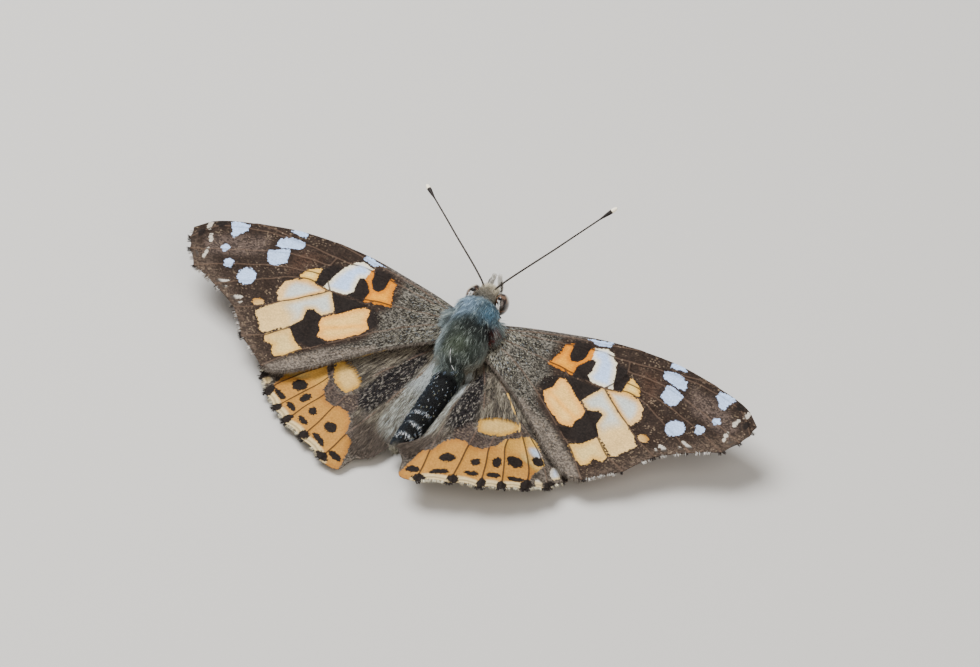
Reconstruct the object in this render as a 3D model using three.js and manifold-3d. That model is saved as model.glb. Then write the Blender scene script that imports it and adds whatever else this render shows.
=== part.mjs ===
// Painted lady butterfly, Vanessa cardui, life size, at rest with its wings spread.
// Millimetres, +Z up, head towards +Y, the butterfly's own right side towards +X.
import * as THREE from 'three';
import { mergeVertices } from 'three/addons/utils/BufferGeometryUtils.js';
import Module from 'manifold-3d';

const wasm = await Module();
wasm.setup();

// Driving dimensions
const degree = Math.PI / 180;
const meetingGap = 0.3;          // between a part and what it grows from
const rootHeight = 5.8;          // forewing root above the floor
const wingFall = 13 * degree;    // both forewings slope down towards the tail
const membrane = 0.5;            // wing thickness between its veins
const veinRiseTop = 0.2;
const veinRiseUnder = 0.1;
const veinFoot = 0.32;           // half width of a vein's raised strip
const veinStep = 1.25;           // spacing of the points along a vein
const edgeStep = 1.1;            // spacing of the points along a wing's edge
const fillStep = 1.9;            // spacing of the points in the open membrane
const bodyPitch = 20 * degree;   // the chest rises towards the head
const footRadius = 0.26;         // feet, cut flat where they meet the floor

// The body, as centres and half sizes
const thorax = { centre: [0, -2.3, rootHeight - 0.35], width: 2.75, length: 4.35, height: 2.6 };
const head = { centre: [0, 2.5, rootHeight + 1.5], size: [1.7, 1.5, 1.55] };
const eye = { centre: [1.6, 2.85, rootHeight + 1.25], size: [0.9, 1.2, 1.3] };
const abdomen = { front: -5.4, tip: -19, height: rootHeight - 2.85, radius: 1.75, rings: 8 };
const abdomenCurve = { frontRise: 0.75, tailDrop: 0.75, tailTurn: -0.85 };
const tegula = { centre: [2.7, -0.1, rootHeight + 0.05], size: [1.1, 1.35, 0.62] };

// Forewing edge in the plane of the wing: x out from the midline, y forwards from the root
const forewingEdge = {
  costa: [[1.2, 0.4], [4.5, 1.5], [9.1, 2.6], [13.6, 3.5], [18.2, 3.85], [22.7, 3.65],
    [27.3, 2.7], [31.4, 1.3], [33.3, -0.4]],
  veinEnds: [[33.1, -1.8], [32.5, -3.1], [31.2, -5], [28.1, -6.4], [24.8, -8.4], [22.5, -11.5],
    [18.9, -14.3]],
  innerMargin: [[17.3, -14.25], [14.5, -12.6], [11.4, -9.9], [8, -7], [4.5, -4.6], [1.2, -2.6]],
  scallop: 0.12,
};
const forewingVeins = [
  [[2.9, 0.35], [8, 1.95], [14, 3.05], [18.2, 3.85]],
  [[2.9, 0.1], [8, 1.1], [13, 1.9], [17.3, 1.95], [22, 2.35], [27, 1.9], [31, 0.7], [33.1, -1.8]],
  [[22, 2.35], [25, 2.75], [27.3, 2.7]],
  [[17.3, 1.95], [17.6, 0.8], [17.3, -0.6], [16.2, -2.3]],
  [[17.6, 0.8], [22, 0.5], [27, -1], [32.5, -3.1]],
  [[17.3, -0.6], [22, -1.3], [27, -3.1], [31.2, -5]],
  [[2.9, -0.6], [9.3, -1.4], [16.2, -2.3], [18.6, -1.85], [20.5, -2.2], [24, -4.1], [28.1, -6.4]],
  [[16.2, -2.3], [18.3, -4.1], [20.4, -5.7], [22.4, -7.2], [24.8, -8.4]],
  [[11.3, -1.75], [14, -4.2], [17.9, -8.2], [20.1, -10.3], [22.5, -11.5]],
  [[2.9, -1.4], [6, -3], [9.1, -5.1], [13.8, -9], [16.2, -11.1], [18.9, -14.3]],
];

// Hindwing edge and veins, laid out flat from the hindwing's own root
const hindwingEdge = {
  costa: [[-0.4, 0.9], [4, -0.2], [8, -2.2], [11.5, -5], [14, -8.3], [15.2, -11.5]],
  veinEnds: [[14.9, -13.8], [13.6, -16.2], [11.7, -17.9], [9.5, -19.2], [7.4, -20.2],
    [4.35, -21], [0.9, -22.3]],
  innerMargin: [[-1.3, -22], [-1.9, -19.9], [-3.2, -18.2], [-3.9, -14], [-3.5, -11.3],
    [-3, -8], [-1.9, -5.2], [-1.6, -1.5]],
  scallop: 0.34,
};
const hindwingVeins = [
  [[0.4, -0.6], [4, -2.2], [9, -5.2], [12.6, -9], [14.9, -13.8]],
  [[0.4, -0.9], [2.8, -3.7], [5.1, -6.2], [6.6, -8.2], [9.5, -10.6], [12, -13.4], [13.6, -16.2]],
  [[6.6, -8.2], [7.8, -9.9], [9.5, -12.4], [11.1, -15.4], [11.7, -17.9]],
  [[7.8, -9.9], [7.3, -11.6], [6, -11.4], [4, -12]],
  [[7.3, -11.6], [7.6, -13.6], [8.3, -15.4], [9.5, -19.2]],
  [[6, -11.4], [6.2, -14.6], [6.8, -17], [7.4, -20.2]],
  [[0.2, -1.8], [2.2, -6.2], [3.5, -9.8], [4, -12], [4.2, -16.5], [4.35, -21]],
  [[-0.4, -2.6], [-0.3, -8], [0.1, -13], [0.7, -18], [0.9, -22.3]],
];
const hindwingRoot = [2, -1.5];
// How each hindwing is held: swing about the root, reach, its rise behind the forewing, and how
// steeply its inner edge bends down into the gutter beside the abdomen, and still does at its rear
const hindwingPose = {
  right: { swing: 2 * degree, reach: 0.3, rise: 4.73, riseLength: 6, under: -1.27,
    gutter: 45 * degree, gutterRear: 0.25 },
  left: { swing: 12.5 * degree, reach: -0.3, rise: 5, riseLength: 26, under: -1.36,
    gutter: 12 * degree, gutterRear: 1 },
};
const gutterStart = 1.2;         // where the hindwing starts to bend down, out from its root
const gutterSoftness = 0.35;

const antennaRoot = [0.62, 3.05, rootHeight + 2.75];
const antennaTip = {
  right: [10.05, 12.94, rootHeight + 10.95], left: [11.93, 12.68, rootHeight + 5.07],
};
const antennaShaft = 0.25;
const antennaClub = 0.45;
const palpPath = [[0.46, 3.3, 6.15], [0.55, 4.1, 6.55], [0.6, 4.75, 7.4], [0.38, 5.1, 8.45]];
// The tongue's coil closes in by more than its own thickness at each turn, so it stays clear of itself
const tongue = { root: [0, 2.9, 6], centre: [0, 3.9, 4.85], radius: 0.95, turns: 1.1,
  closing: 0.57, thick: 0.23, tip: 0.18, bends: 12 };

// Legs from hip to toe; the front pair is the short pair carried folded at the chest
const legs = {
  foreleg: [[0.9, 0.2, 3.9], [1.35, 2, 3], [1.15, 3.4, 3.5], [1.05, 4.1, 4.2]],
  leg_mid: [[1.2, -1.4, 3.4], [4.2, 0, 3.4], [6.1, 1.1, 1.1], [6.9, 1.6, 0.2], [8.9, 2.6, 0.2]],
  leg_hind: [[1.1, -3.6, 3.2], [3.5, -5.8, 1.55], [4.6, -8.8, 0.75], [4.9, -10.2, 0.2],
    [5.6, -12.8, 0.2]],
};

const colours = {
  chest: '#3d4a47', abdomen: '#39373a', head: '#57534c', eye: '#6b4a33', feeler: '#2b2320',
  palp: '#a59c8c', tongue: '#4c3626', forewing: '#c98a4d', hindwing: '#cf8f45', leg: '#8d7a62',
};

// A closed mesh as a solid, with its faces turned outwards
function solid(geometry) {
  const bare = geometry.index ? geometry.clone() : mergeVertices(geometry);
  for (const name of Object.keys(bare.attributes)) {
    if (name !== 'position') bare.deleteAttribute(name);
  }
  const merged = mergeVertices(bare, 1e-4);
  const places = merged.attributes.position.array;
  const source = merged.index.array;
  const corners = [];
  let volume = 0;
  const [a, b, c] = [new THREE.Vector3(), new THREE.Vector3(), new THREE.Vector3()];
  for (let i = 0; i < source.length; i += 3) {
    const [p, q, r] = [source[i], source[i + 1], source[i + 2]];
    if (p === q || q === r || r === p) continue;
    corners.push(p, q, r);
    a.fromArray(places, 3 * p);
    b.fromArray(places, 3 * q);
    c.fromArray(places, 3 * r);
    volume += a.dot(b.cross(c));
  }
  if (volume < 0) corners.reverse();
  return new wasm.Manifold(new wasm.Mesh({
    numProp: 3,
    vertProperties: new Float32Array(places),
    triVerts: new Uint32Array(corners),
  }));
}

// The largest closed surface of a solid
function largest(shape) {
  return shape.decompose().reduce((best, piece) => (piece.volume() > best.volume() ? piece : best));
}

function cut(shape, ...tools) {
  return largest(tools.reduce((left, tool) => left.subtract(tool), shape));
}

function ellipsoid(centre, size, grow = 0, around = 18, along = 12) {
  const ball = new THREE.SphereGeometry(1, around, along);
  ball.rotateX(Math.PI / 2);
  ball.scale(...size.map((half) => half + grow));
  ball.translate(...centre);
  return solid(ball);
}

function mirrored(point, side) {
  return [side * point[0], point[1], point[2]];
}

// A tube of changing radius along a smooth path, closed by a fan at each end
function tube(points, radiusAt, steps, sides) {
  const path = new THREE.CatmullRomCurve3(points.map((point) => new THREE.Vector3(...point)),
    false, 'centripetal');
  const frames = path.computeFrenetFrames(steps, false);
  const places = [];
  const corners = [];
  for (let i = 0; i <= steps; i++) {
    const centre = path.getPointAt(i / steps);
    for (let j = 0; j < sides; j++) {
      const turn = 2 * Math.PI * j / sides;
      const radius = radiusAt(i / steps);
      centre.clone().addScaledVector(frames.normals[i], radius * Math.cos(turn))
        .addScaledVector(frames.binormals[i], radius * Math.sin(turn)).toArray(places, places.length);
    }
  }
  for (let i = 0; i < steps; i++) {
    for (let j = 0; j < sides; j++) {
      const [a, b] = [i * sides + j, i * sides + (j + 1) % sides];
      corners.push(a, b, a + sides, b, b + sides, a + sides);
    }
  }
  const ends = [[0, path.getPointAt(0), true], [steps, path.getPointAt(1), false]];
  for (const [row, centre, first] of ends) {
    const middle = places.length / 3;
    centre.toArray(places, places.length);
    for (let j = 0; j < sides; j++) {
      const [a, b] = [row * sides + j, row * sides + (j + 1) % sides];
      corners.push(...(first ? [middle, b, a] : [middle, a, b]));
    }
  }
  const geometry = new THREE.BufferGeometry();
  geometry.setAttribute('position', new THREE.Float32BufferAttribute(places, 3));
  geometry.setIndex(corners);
  return solid(geometry);
}

// Points on a smooth curve through a few given points, an even step apart
function sampled(points, step, closed = false) {
  const curve = new THREE.CatmullRomCurve3(points.map(([x, y]) => new THREE.Vector3(x, y, 0)),
    closed, 'centripetal');
  const count = Math.max(1, Math.round(curve.getLength() / step));
  return curve.getSpacedPoints(count).map((point) => [point.x, point.y]);
}

function distance(p, q) {
  return Math.hypot(p[0] - q[0], p[1] - q[1]);
}

function distanceToSegment(p, a, b) {
  const [dx, dy] = [b[0] - a[0], b[1] - a[1]];
  const t = ((p[0] - a[0]) * dx + (p[1] - a[1]) * dy) / (dx * dx + dy * dy);
  const held = Math.min(1, Math.max(0, t));
  return distance(p, [a[0] + held * dx, a[1] + held * dy]);
}

function inside(p, outline) {
  let within = false;
  outline.forEach((a, i) => {
    const b = outline[(i + 1) % outline.length];
    const crosses = (a[1] > p[1]) !== (b[1] > p[1]);
    if (crosses && p[0] < a[0] + (b[0] - a[0]) * (p[1] - a[1]) / (b[1] - a[1])) within = !within;
  });
  return within;
}

// The wing's edge: a smooth front edge, a scallop between each two vein ends, the inner margin
function wingOutline({ costa, veinEnds, innerMargin, scallop }) {
  const outline = sampled(costa, edgeStep);
  let from = costa[costa.length - 1];
  for (const to of veinEnds) {
    const span = distance(from, to);
    const count = Math.max(1, Math.round(span / edgeStep));
    const inward = [(to[1] - from[1]) / span, -(to[0] - from[0]) / span];
    for (let i = 1; i <= count; i++) {
      const t = i / count;
      const depth = scallop * Math.sin(Math.PI * t);
      outline.push([from[0] + (to[0] - from[0]) * t + inward[0] * depth,
        from[1] + (to[1] - from[1]) * t + inward[1] * depth]);
    }
    from = to;
  }
  outline.push(...sampled([from, ...innerMargin], edgeStep).slice(1));
  return outline;
}

// Triangles over a set of points, each with no other point in its circle
function delaunay(points) {
  const far = 1000;
  const all = [...points, [-far, -far], [far, -far], [0, far]];
  const n = points.length;
  let triangles = [circled(all, n, n + 1, n + 2)];
  for (let i = 0; i < n; i++) {
    const open = [];
    const kept = [];
    for (const t of triangles) {
      const near = (all[i][0] - t.x) ** 2 + (all[i][1] - t.y) ** 2 < t.r2;
      (near ? open : kept).push(t);
    }
    const rim = new Map();
    for (const { corners: [a, b, c] } of open) {
      for (const [p, q] of [[a, b], [b, c], [c, a]]) {
        if (!rim.delete(`${q},${p}`)) rim.set(`${p},${q}`, [p, q]);
      }
    }
    triangles = [...kept, ...[...rim.values()].map(([p, q]) => circled(all, p, q, i))];
  }
  return triangles.map((t) => t.corners).filter((t) => Math.max(...t) < n);
}

function circled(all, i, j, k) {
  const [[ax, ay], [bx, by], [cx, cy]] = [all[i], all[j], all[k]];
  const d = 2 * ((bx - ax) * (cy - ay) - (by - ay) * (cx - ax));
  const b2 = (bx - ax) ** 2 + (by - ay) ** 2;
  const c2 = (cx - ax) ** 2 + (cy - ay) ** 2;
  const ux = ((cy - ay) * b2 - (by - ay) * c2) / d;
  const uy = ((bx - ax) * c2 - (cx - ax) * b2) / d;
  return { corners: [i, j, k], x: ax + ux, y: ay + uy, r2: ux * ux + uy * uy };
}

// The flat layout of a wing: points, how far each stands on a vein, and triangles
function wingLayout(edge, veins) {
  const outline = wingOutline(edge);
  const points = outline.map((point) => ({ at: point, lift: 0 }));
  const clearOf = (p, room) => points.every((other) => distance(other.at, p) > room);
  const edgeRoom = (p) => Math.min(...outline.map((a, i) => (
    distanceToSegment(p, a, outline[(i + 1) % outline.length]))));
  const lines = veins.map((vein) => sampled(vein, veinStep));
  for (const line of lines) {
    for (const at of line) {
      const joined = points.find((other) => distance(other.at, at) < 0.5);
      if (joined) joined.lift = Math.max(joined.lift, distance(joined.at, at) < 0.2 ? 1 : 0);
      else if (inside(at, outline) && edgeRoom(at) > 0.5) points.push({ at, lift: 1 });
    }
  }
  for (const line of lines) {
    line.forEach((at, i) => {
      const [a, b] = [line[Math.max(0, i - 1)], line[Math.min(line.length - 1, i + 1)]];
      const [tx, ty] = [(b[0] - a[0]) / distance(a, b), (b[1] - a[1]) / distance(a, b)];
      for (const side of [-1, 1]) {
        const wobble = 0.001 * ((i * 7 + side) % 5);
        const foot = [at[0] - side * ty * (veinFoot + wobble), at[1] + side * tx * veinFoot];
        const free = lines.every((other) => other.every((p) => distance(p, foot) > 0.28));
        if (free && clearOf(foot, 0.28) && inside(foot, outline) && edgeRoom(foot) > 0.45) {
          points.push({ at: foot, lift: 0 });
        }
      }
    });
  }
  const xs = outline.map((p) => p[0]);
  const ys = outline.map((p) => p[1]);
  let row = 0;
  for (let y = Math.min(...ys); y < Math.max(...ys); y += fillStep * Math.sqrt(3) / 2) {
    for (let x = Math.min(...xs) + (row % 2) * fillStep / 2; x < Math.max(...xs); x += fillStep) {
      const at = [x + 0.01 * Math.sin(5 * y), y + 0.01 * Math.sin(7 * x)];
      if (inside(at, outline) && edgeRoom(at) > 0.8 && clearOf(at, 0.85)) {
        points.push({ at, lift: 0 });
      }
    }
    row += 1;
  }
  const places = points.map((point) => point.at);
  const triangles = delaunay(places).filter(([a, b, c]) => inside([
    (places[a][0] + places[b][0] + places[c][0]) / 3,
    (places[a][1] + places[b][1] + places[c][1]) / 3], outline));
  return { points, triangles };
}

// A wing's two faces share one layout, and a rim joins them
function wingSheet({ points, triangles }, surface) {
  const places = [];
  const corners = [];
  for (const face of [1, -1]) {
    for (const { at, lift } of points) {
      const rise = lift * (face > 0 ? veinRiseTop : veinRiseUnder);
      places.push(...surface(at, face * (membrane / 2 + rise)));
    }
  }
  const n = points.length;
  const rim = new Map();
  for (const [a, b, c] of triangles) {
    corners.push(a, b, c, n + a, n + c, n + b);
    for (const [p, q] of [[a, b], [b, c], [c, a]]) {
      if (!rim.delete(`${q},${p}`)) rim.set(`${p},${q}`, [p, q]);
    }
  }
  for (const [p, q] of rim.values()) corners.push(p, n + p, q, q, n + p, n + q);
  const geometry = new THREE.BufferGeometry();
  geometry.setAttribute('position', new THREE.Float32BufferAttribute(places, 3));
  geometry.setIndex(corners);
  return solid(geometry);
}

// A point of the forewing plane, up to its height over that plane
function forewingPlace([x, y], height, side) {
  return [side * x, y * Math.cos(wingFall) - height * Math.sin(wingFall),
    rootHeight + y * Math.sin(wingFall) + height * Math.cos(wingFall)];
}

function smoothStep(from, to, value) {
  const t = Math.min(1, Math.max(0, (value - from) / (to - from)));
  return t * t * (3 - 2 * t);
}

// The hindwing passes under the forewing's inner margin and rises or falls behind it
function hindwingPlace([x, y], height, sideName) {
  const pose = hindwingPose[sideName];
  const pastStart = gutterSoftness * Math.log(1 + Math.exp((gutterStart - x) / gutterSoftness));
  const rear = 1 - (1 - pose.gutterRear) * smoothStep(-14, -19, y);
  const bent = pastStart * smoothStep(-2, -5, y) * rear;
  const inner = x + bent * (1 - Math.cos(pose.gutter));
  const reached = y + pose.reach * Math.min(1, -y / 8);
  const qx = inner * Math.cos(pose.swing) - reached * Math.sin(pose.swing);
  const qy = inner * Math.sin(pose.swing) + reached * Math.cos(pose.swing);
  const margin = [0.69, 0.7235];
  const behind = -margin[0] * (qx - 0.85) - margin[1] * (qy - 1.5);
  const eased = 0.8 * Math.log(1 + Math.exp((behind - 1) / 0.8));
  const awayFromRoot = 1 - Math.exp(-((Math.hypot(qx, qy) / 7) ** 2));
  const rise = pose.rise * (1 - Math.exp(-eased / pose.riseLength)) * awayFromRoot
    - bent * Math.sin(pose.gutter);
  const side = sideName === 'right' ? 1 : -1;
  return forewingPlace([hindwingRoot[0] + qx, hindwingRoot[1] + qy], pose.under + rise + height,
    side);
}

// A barrel about the body's long axis, from its profile of radius against length
function barrel(profile, around) {
  const points = profile.map(([radius, along]) => new THREE.Vector2(radius, along));
  return new THREE.LatheGeometry(points, around);
}

function thoraxSolid(grow = 0) {
  const rows = 14;
  const profile = [];
  for (let i = 0; i <= rows; i++) {
    const t = -Math.cos(Math.PI * i / rows);
    const girth = i === 0 || i === rows ? 0 : (1 - Math.abs(t) ** 2.5) ** (1 / 2.2);
    profile.push([girth, t]);
  }
  const body = barrel(profile, 20);
  body.scale(thorax.width + grow, thorax.length + grow, thorax.height + grow);
  body.rotateX(bodyPitch);
  body.translate(...thorax.centre);
  return solid(body);
}

// The abdomen's rings: each bulges a little between the grooves that part it from the next
function abdomenSolid(grow = 0) {
  const profile = [[0, abdomen.tip - grow]];
  const rows = abdomen.rings * 3;
  for (let i = 0; i <= rows; i++) {
    const t = i / rows;
    const girth = abdomen.radius * Math.sin(Math.PI * (0.12 + 0.62 * t)) ** 0.6;
    const groove = 0.07 * Math.cos(2 * Math.PI * i / 3);
    profile.push([girth - groove + grow, abdomen.tip + 0.25 + t * (abdomen.front - abdomen.tip - 0.5)]);
  }
  profile.push([0, abdomen.front + grow]);
  const body = barrel(profile, 16);
  const places = body.attributes.position;
  for (let i = 0; i < places.count; i++) {
    const t = (abdomen.front - places.getY(i)) / (abdomen.front - abdomen.tip);
    const held = Math.min(1, Math.max(0, t));
    const turned = abdomenCurve.tailTurn * held ** 3;
    const lifted = abdomenCurve.frontRise * (1 - held) ** 4 - abdomenCurve.tailDrop * held ** 3;
    places.setX(i, places.getX(i) + turned);
    places.setZ(i, places.getZ(i) + abdomen.height + lifted);
  }
  return solid(body);
}

function headSolid(grow = 0) {
  return ellipsoid(head.centre, head.size, grow, 20, 14);
}

function eyeSolid(side, grow = 0) {
  return ellipsoid(mirrored(eye.centre, side), eye.size, grow, 14, 10);
}

function antennaSolid(side, sideName) {
  const tip = mirrored(antennaTip[sideName], side);
  const root = mirrored(antennaRoot, side);
  const middle = root.map((value, i) => (value + tip[i]) / 2 + [side * 0.3, 0.2, 0.35][i]);
  const radiusAt = (t) => {
    const club = Math.exp(-(((t - 0.93) / 0.055) ** 2));
    const end = t > 0.97 ? Math.sqrt(Math.max(0.15, 1 - ((t - 0.97) / 0.03) ** 2)) : 1;
    return (antennaShaft + (antennaClub - antennaShaft) * club) * end;
  };
  return tube([mirrored([0.45, 2.7, head.centre[2] + 0.7], side), root, middle, tip], radiusAt, 36, 8);
}

function palpSolid(side) {
  const radiusAt = (t) => 0.3 + 0.06 * Math.sin(Math.PI * t) - 0.12 * t * t;
  return tube(palpPath.map((point) => mirrored(point, side)), radiusAt, 9, 8);
}

// The coiled tongue, a flat spiral held under the head between the palps
function tongueSolid() {
  const points = [tongue.root];
  for (let i = 0; i <= tongue.bends; i++) {
    const turned = tongue.turns * i / tongue.bends;
    const radius = tongue.radius - tongue.closing * turned;
    const angle = 2 * Math.PI * turned;
    points.push([0, tongue.centre[1] - radius * Math.cos(angle),
      tongue.centre[2] - radius * Math.sin(angle)]);
  }
  return tube(points, (t) => tongue.thick + (tongue.tip - tongue.thick) * t, 30, 8);
}

function legSolid(name, side) {
  const points = legs[name].map((point) => mirrored(point, side));
  const radiusAt = (t) => (t < 0.5 ? 0.36 - 0.2 * t * t : Math.max(footRadius, 0.31 - 0.1 * (t - 0.5)));
  return tube(points, radiusAt, 18, 8);
}

const floorBlock = solid(new THREE.BoxGeometry(90, 90, 4).translate(0, 0, -2));
const thoraxReach = thoraxSolid(meetingGap);
const headReach = headSolid(meetingGap);
const abdomenReach = abdomenSolid(meetingGap);
const group = new THREE.Group();

function place(name, shape, colour, roughness) {
  const { vertProperties, triVerts, numProp } = shape.getMesh();
  const places = new Float32Array(triVerts.length * 3);
  triVerts.forEach((corner, i) => {
    for (let axis = 0; axis < 3; axis++) places[3 * i + axis] = vertProperties[numProp * corner + axis];
  });
  const geometry = new THREE.BufferGeometry();
  geometry.setAttribute('position', new THREE.BufferAttribute(places, 3));
  const merged = mergeVertices(geometry, 1e-5);
  merged.computeVertexNormals();
  const material = new THREE.MeshStandardMaterial({ color: colour, roughness, metalness: 0 });
  const mesh = new THREE.Mesh(merged, material);
  mesh.name = name;
  group.add(mesh);
}

place('thorax', thoraxSolid(), colours.chest, 0.95);
place('abdomen', cut(abdomenSolid(), thoraxReach), colours.abdomen, 0.9);
place('head', cut(headSolid(), thoraxReach, eyeSolid(1, meetingGap), eyeSolid(-1, meetingGap)),
  colours.head, 0.95);
place('proboscis', cut(tongueSolid(), headReach, thoraxReach), colours.tongue, 0.5);

const forewingLayout = wingLayout(forewingEdge, forewingVeins);
const hindwingLayout = wingLayout(hindwingEdge, hindwingVeins);
for (const sideName of ['left', 'right']) {
  const side = sideName === 'right' ? 1 : -1;
  place(`eye_${sideName}`, cut(eyeSolid(side), thoraxReach), colours.eye, 0.25);
  place(`antenna_${sideName}`, cut(antennaSolid(side, sideName), headReach), colours.feeler, 0.6);
  place(`palp_${sideName}`, cut(palpSolid(side), headReach, eyeSolid(side, meetingGap)),
    colours.palp, 0.95);
  const sheet = wingSheet(forewingLayout, (at, height) => forewingPlace(at, height, side));
  const pad = ellipsoid(mirrored(tegula.centre, side), tegula.size, 0, 12, 8);
  place(`forewing_${sideName}`, cut(sheet.add(pad), thoraxReach), colours.forewing, 0.8);
  const rear = wingSheet(hindwingLayout, (at, height) => hindwingPlace(at, height, sideName));
  place(`hindwing_${sideName}`, cut(rear, thoraxReach, abdomenReach), colours.hindwing, 0.8);
  for (const name of Object.keys(legs)) {
    place(`${name}_${sideName}`, cut(legSolid(name, side), thoraxReach, floorBlock),
      colours.leg, 0.7);
  }
}

// The origin is under the middle of the whole butterfly, on the floor
const box = new THREE.Box3().setFromObject(group);
group.position.set(-(box.min.x + box.max.x) / 2, -(box.min.y + box.max.y) / 2, -box.min.z);

export default group;
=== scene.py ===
import math

import bpy
import numpy as np
from mathutils import Matrix, Vector


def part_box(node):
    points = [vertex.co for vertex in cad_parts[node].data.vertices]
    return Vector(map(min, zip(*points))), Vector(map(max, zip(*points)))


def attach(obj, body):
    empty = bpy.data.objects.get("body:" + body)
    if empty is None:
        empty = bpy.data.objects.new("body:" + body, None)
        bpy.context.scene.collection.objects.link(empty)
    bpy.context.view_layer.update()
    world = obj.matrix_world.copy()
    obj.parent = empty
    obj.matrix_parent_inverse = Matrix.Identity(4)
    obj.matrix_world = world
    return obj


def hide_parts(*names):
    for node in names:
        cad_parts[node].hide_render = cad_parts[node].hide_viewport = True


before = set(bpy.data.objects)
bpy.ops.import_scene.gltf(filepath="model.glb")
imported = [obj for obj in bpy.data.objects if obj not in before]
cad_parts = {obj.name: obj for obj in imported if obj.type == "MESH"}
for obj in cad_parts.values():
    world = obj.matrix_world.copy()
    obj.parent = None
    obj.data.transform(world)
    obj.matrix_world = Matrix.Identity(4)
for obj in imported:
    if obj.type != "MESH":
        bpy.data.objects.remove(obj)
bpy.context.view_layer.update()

# Lengths below are real millimetres on the butterfly: x to its right, y to its head, z up.
# They become metres in the frame by one step, place().
MM = 0.001
ROOT_HEIGHT = 5.8            # forewing root above the floor
WING_FALL = 13               # degrees by which the wings' plane falls to the rear
EYE_Y = 2.85                 # the eyes' place, which ties these millimetres to the frame
eye_low, eye_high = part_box("eye_right")
FORWARD = (eye_low.y + eye_high.y) / 2 / MM - EYE_Y
FAR = 9.0                    # stands for nowhere near
UNWRAP = 40                  # millimetres to one unit of a wing's maps


def place(points):
    """Millimetres on the butterfly to metres in the frame."""
    moved = np.array(points, float) + (0, FORWARD, 0)
    return moved * MM


def linear(code):
    """An sRGB hex colour as linear red, green, blue and 1."""
    channels = [int(code[i:i + 2], 16) / 255 for i in (1, 3, 5)]
    flat = [c / 12.92 if c <= 0.04045 else ((c + 0.055) / 1.055) ** 2.4 for c in channels]
    return (*flat, 1.0)


def rgb(code):
    """An sRGB hex colour as an array of linear red, green and blue."""
    return np.array(linear(code)[:3])


def step(low, high, value):
    """0 below low, 1 above high, and smooth between."""
    t = np.clip((value - low) / (high - low), 0, 1)
    return t * t * (3 - 2 * t)


def blend(first, second, share):
    """first where share is 0, second where it is 1."""
    return first * (1 - share) + second * share


def unit(vectors):
    """Vectors made 1 long."""
    return vectors / np.maximum(np.linalg.norm(vectors, axis=-1, keepdims=True), 1e-12)


# Curves and outlines

def span_of(line):
    """Distance along a line to each of its points."""
    return np.r_[0, np.cumsum(np.linalg.norm(np.diff(line, axis=0), axis=1))]


def resample(line, marks, at):
    """The places on a line at some marks, by straight steps between the points it has."""
    return np.column_stack([np.interp(at, marks, column) for column in np.transpose(line)])


def smooth(points, gap):
    """A centripetal curve through a few points, as points about gap apart."""
    p = np.array(points, float)
    p = np.vstack([2 * p[0] - p[1], p, 2 * p[-1] - p[-2]])
    out = []
    for a, b, c, d in zip(p, p[1:], p[2:], p[3:]):
        ta = 0.0
        tb = ta + np.linalg.norm(b - a) ** 0.5
        tc = tb + np.linalg.norm(c - b) ** 0.5
        td = tc + np.linalg.norm(d - c) ** 0.5
        count = max(1, round(np.linalg.norm(c - b) / gap))
        t = np.linspace(tb, tc, count, endpoint=False)[:, None]
        ab = (tb - t) / (tb - ta) * a + (t - ta) / (tb - ta) * b
        bc = (tc - t) / (tc - tb) * b + (t - tb) / (tc - tb) * c
        cd = (td - t) / (td - tc) * c + (t - tc) / (td - tc) * d
        abc = (tc - t) / (tc - ta) * ab + (t - ta) / (tc - ta) * bc
        bcd = (td - t) / (td - tb) * bc + (t - tb) / (td - tb) * cd
        out.append((tc - t) / (tc - tb) * abc + (t - tb) / (tc - tb) * bcd)
    return np.vstack([*out, p[-2]])


def oval(x, y, long, short, turn=0.0):
    """An oval spot as an outline; turn in degrees."""
    a = np.linspace(0, 2 * math.pi, 18, endpoint=False)
    c, s = math.cos(math.radians(turn)), math.sin(math.radians(turn))
    u, v = long * np.cos(a), short * np.sin(a)
    return np.stack([x + u * c - v * s, y + u * s + v * c], axis=1)


def to_lines(at, line, closed=False):
    """Distance from each point to a polyline, and the nearest point on it."""
    line = np.array(line, float)
    ends = np.roll(line, -1, axis=0) if closed else line[1:]
    starts = line if closed else line[:-1]
    best = np.full(len(at), 1e9)
    nearest = np.zeros((len(at), 2))
    for a, b in zip(starts, ends):
        along = b - a
        t = np.clip(((at - a) @ along) / max(along @ along, 1e-12), 0, 1)
        foot = a + t[:, None] * along
        gap = np.linalg.norm(at - foot, axis=1)
        closer = gap < best
        best[closer] = gap[closer]
        nearest[closer] = foot[closer]
    return best, nearest


def within(at, outline):
    """True for each point inside an outline."""
    outline = np.array(outline, float)
    inside = np.zeros(len(at), bool)
    for a, b in zip(outline, np.roll(outline, -1, axis=0)):
        if a[1] == b[1]:
            continue
        crosses = (a[1] > at[:, 1]) != (b[1] > at[:, 1])
        reach = a[0] + (b[0] - a[0]) * (at[:, 1] - a[1]) / (b[1] - a[1])
        inside ^= crosses & (at[:, 0] < reach)
    return inside


def depth(at, outline):
    """How far each point lies inside an outline, or less than 0 outside it."""
    gap, _ = to_lines(at, outline, closed=True)
    return np.where(within(at, outline), gap, -gap)


EDGE_GAP = 0.25              # spacing of an outline's points
SCALLOP_GAP = 0.2


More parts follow.
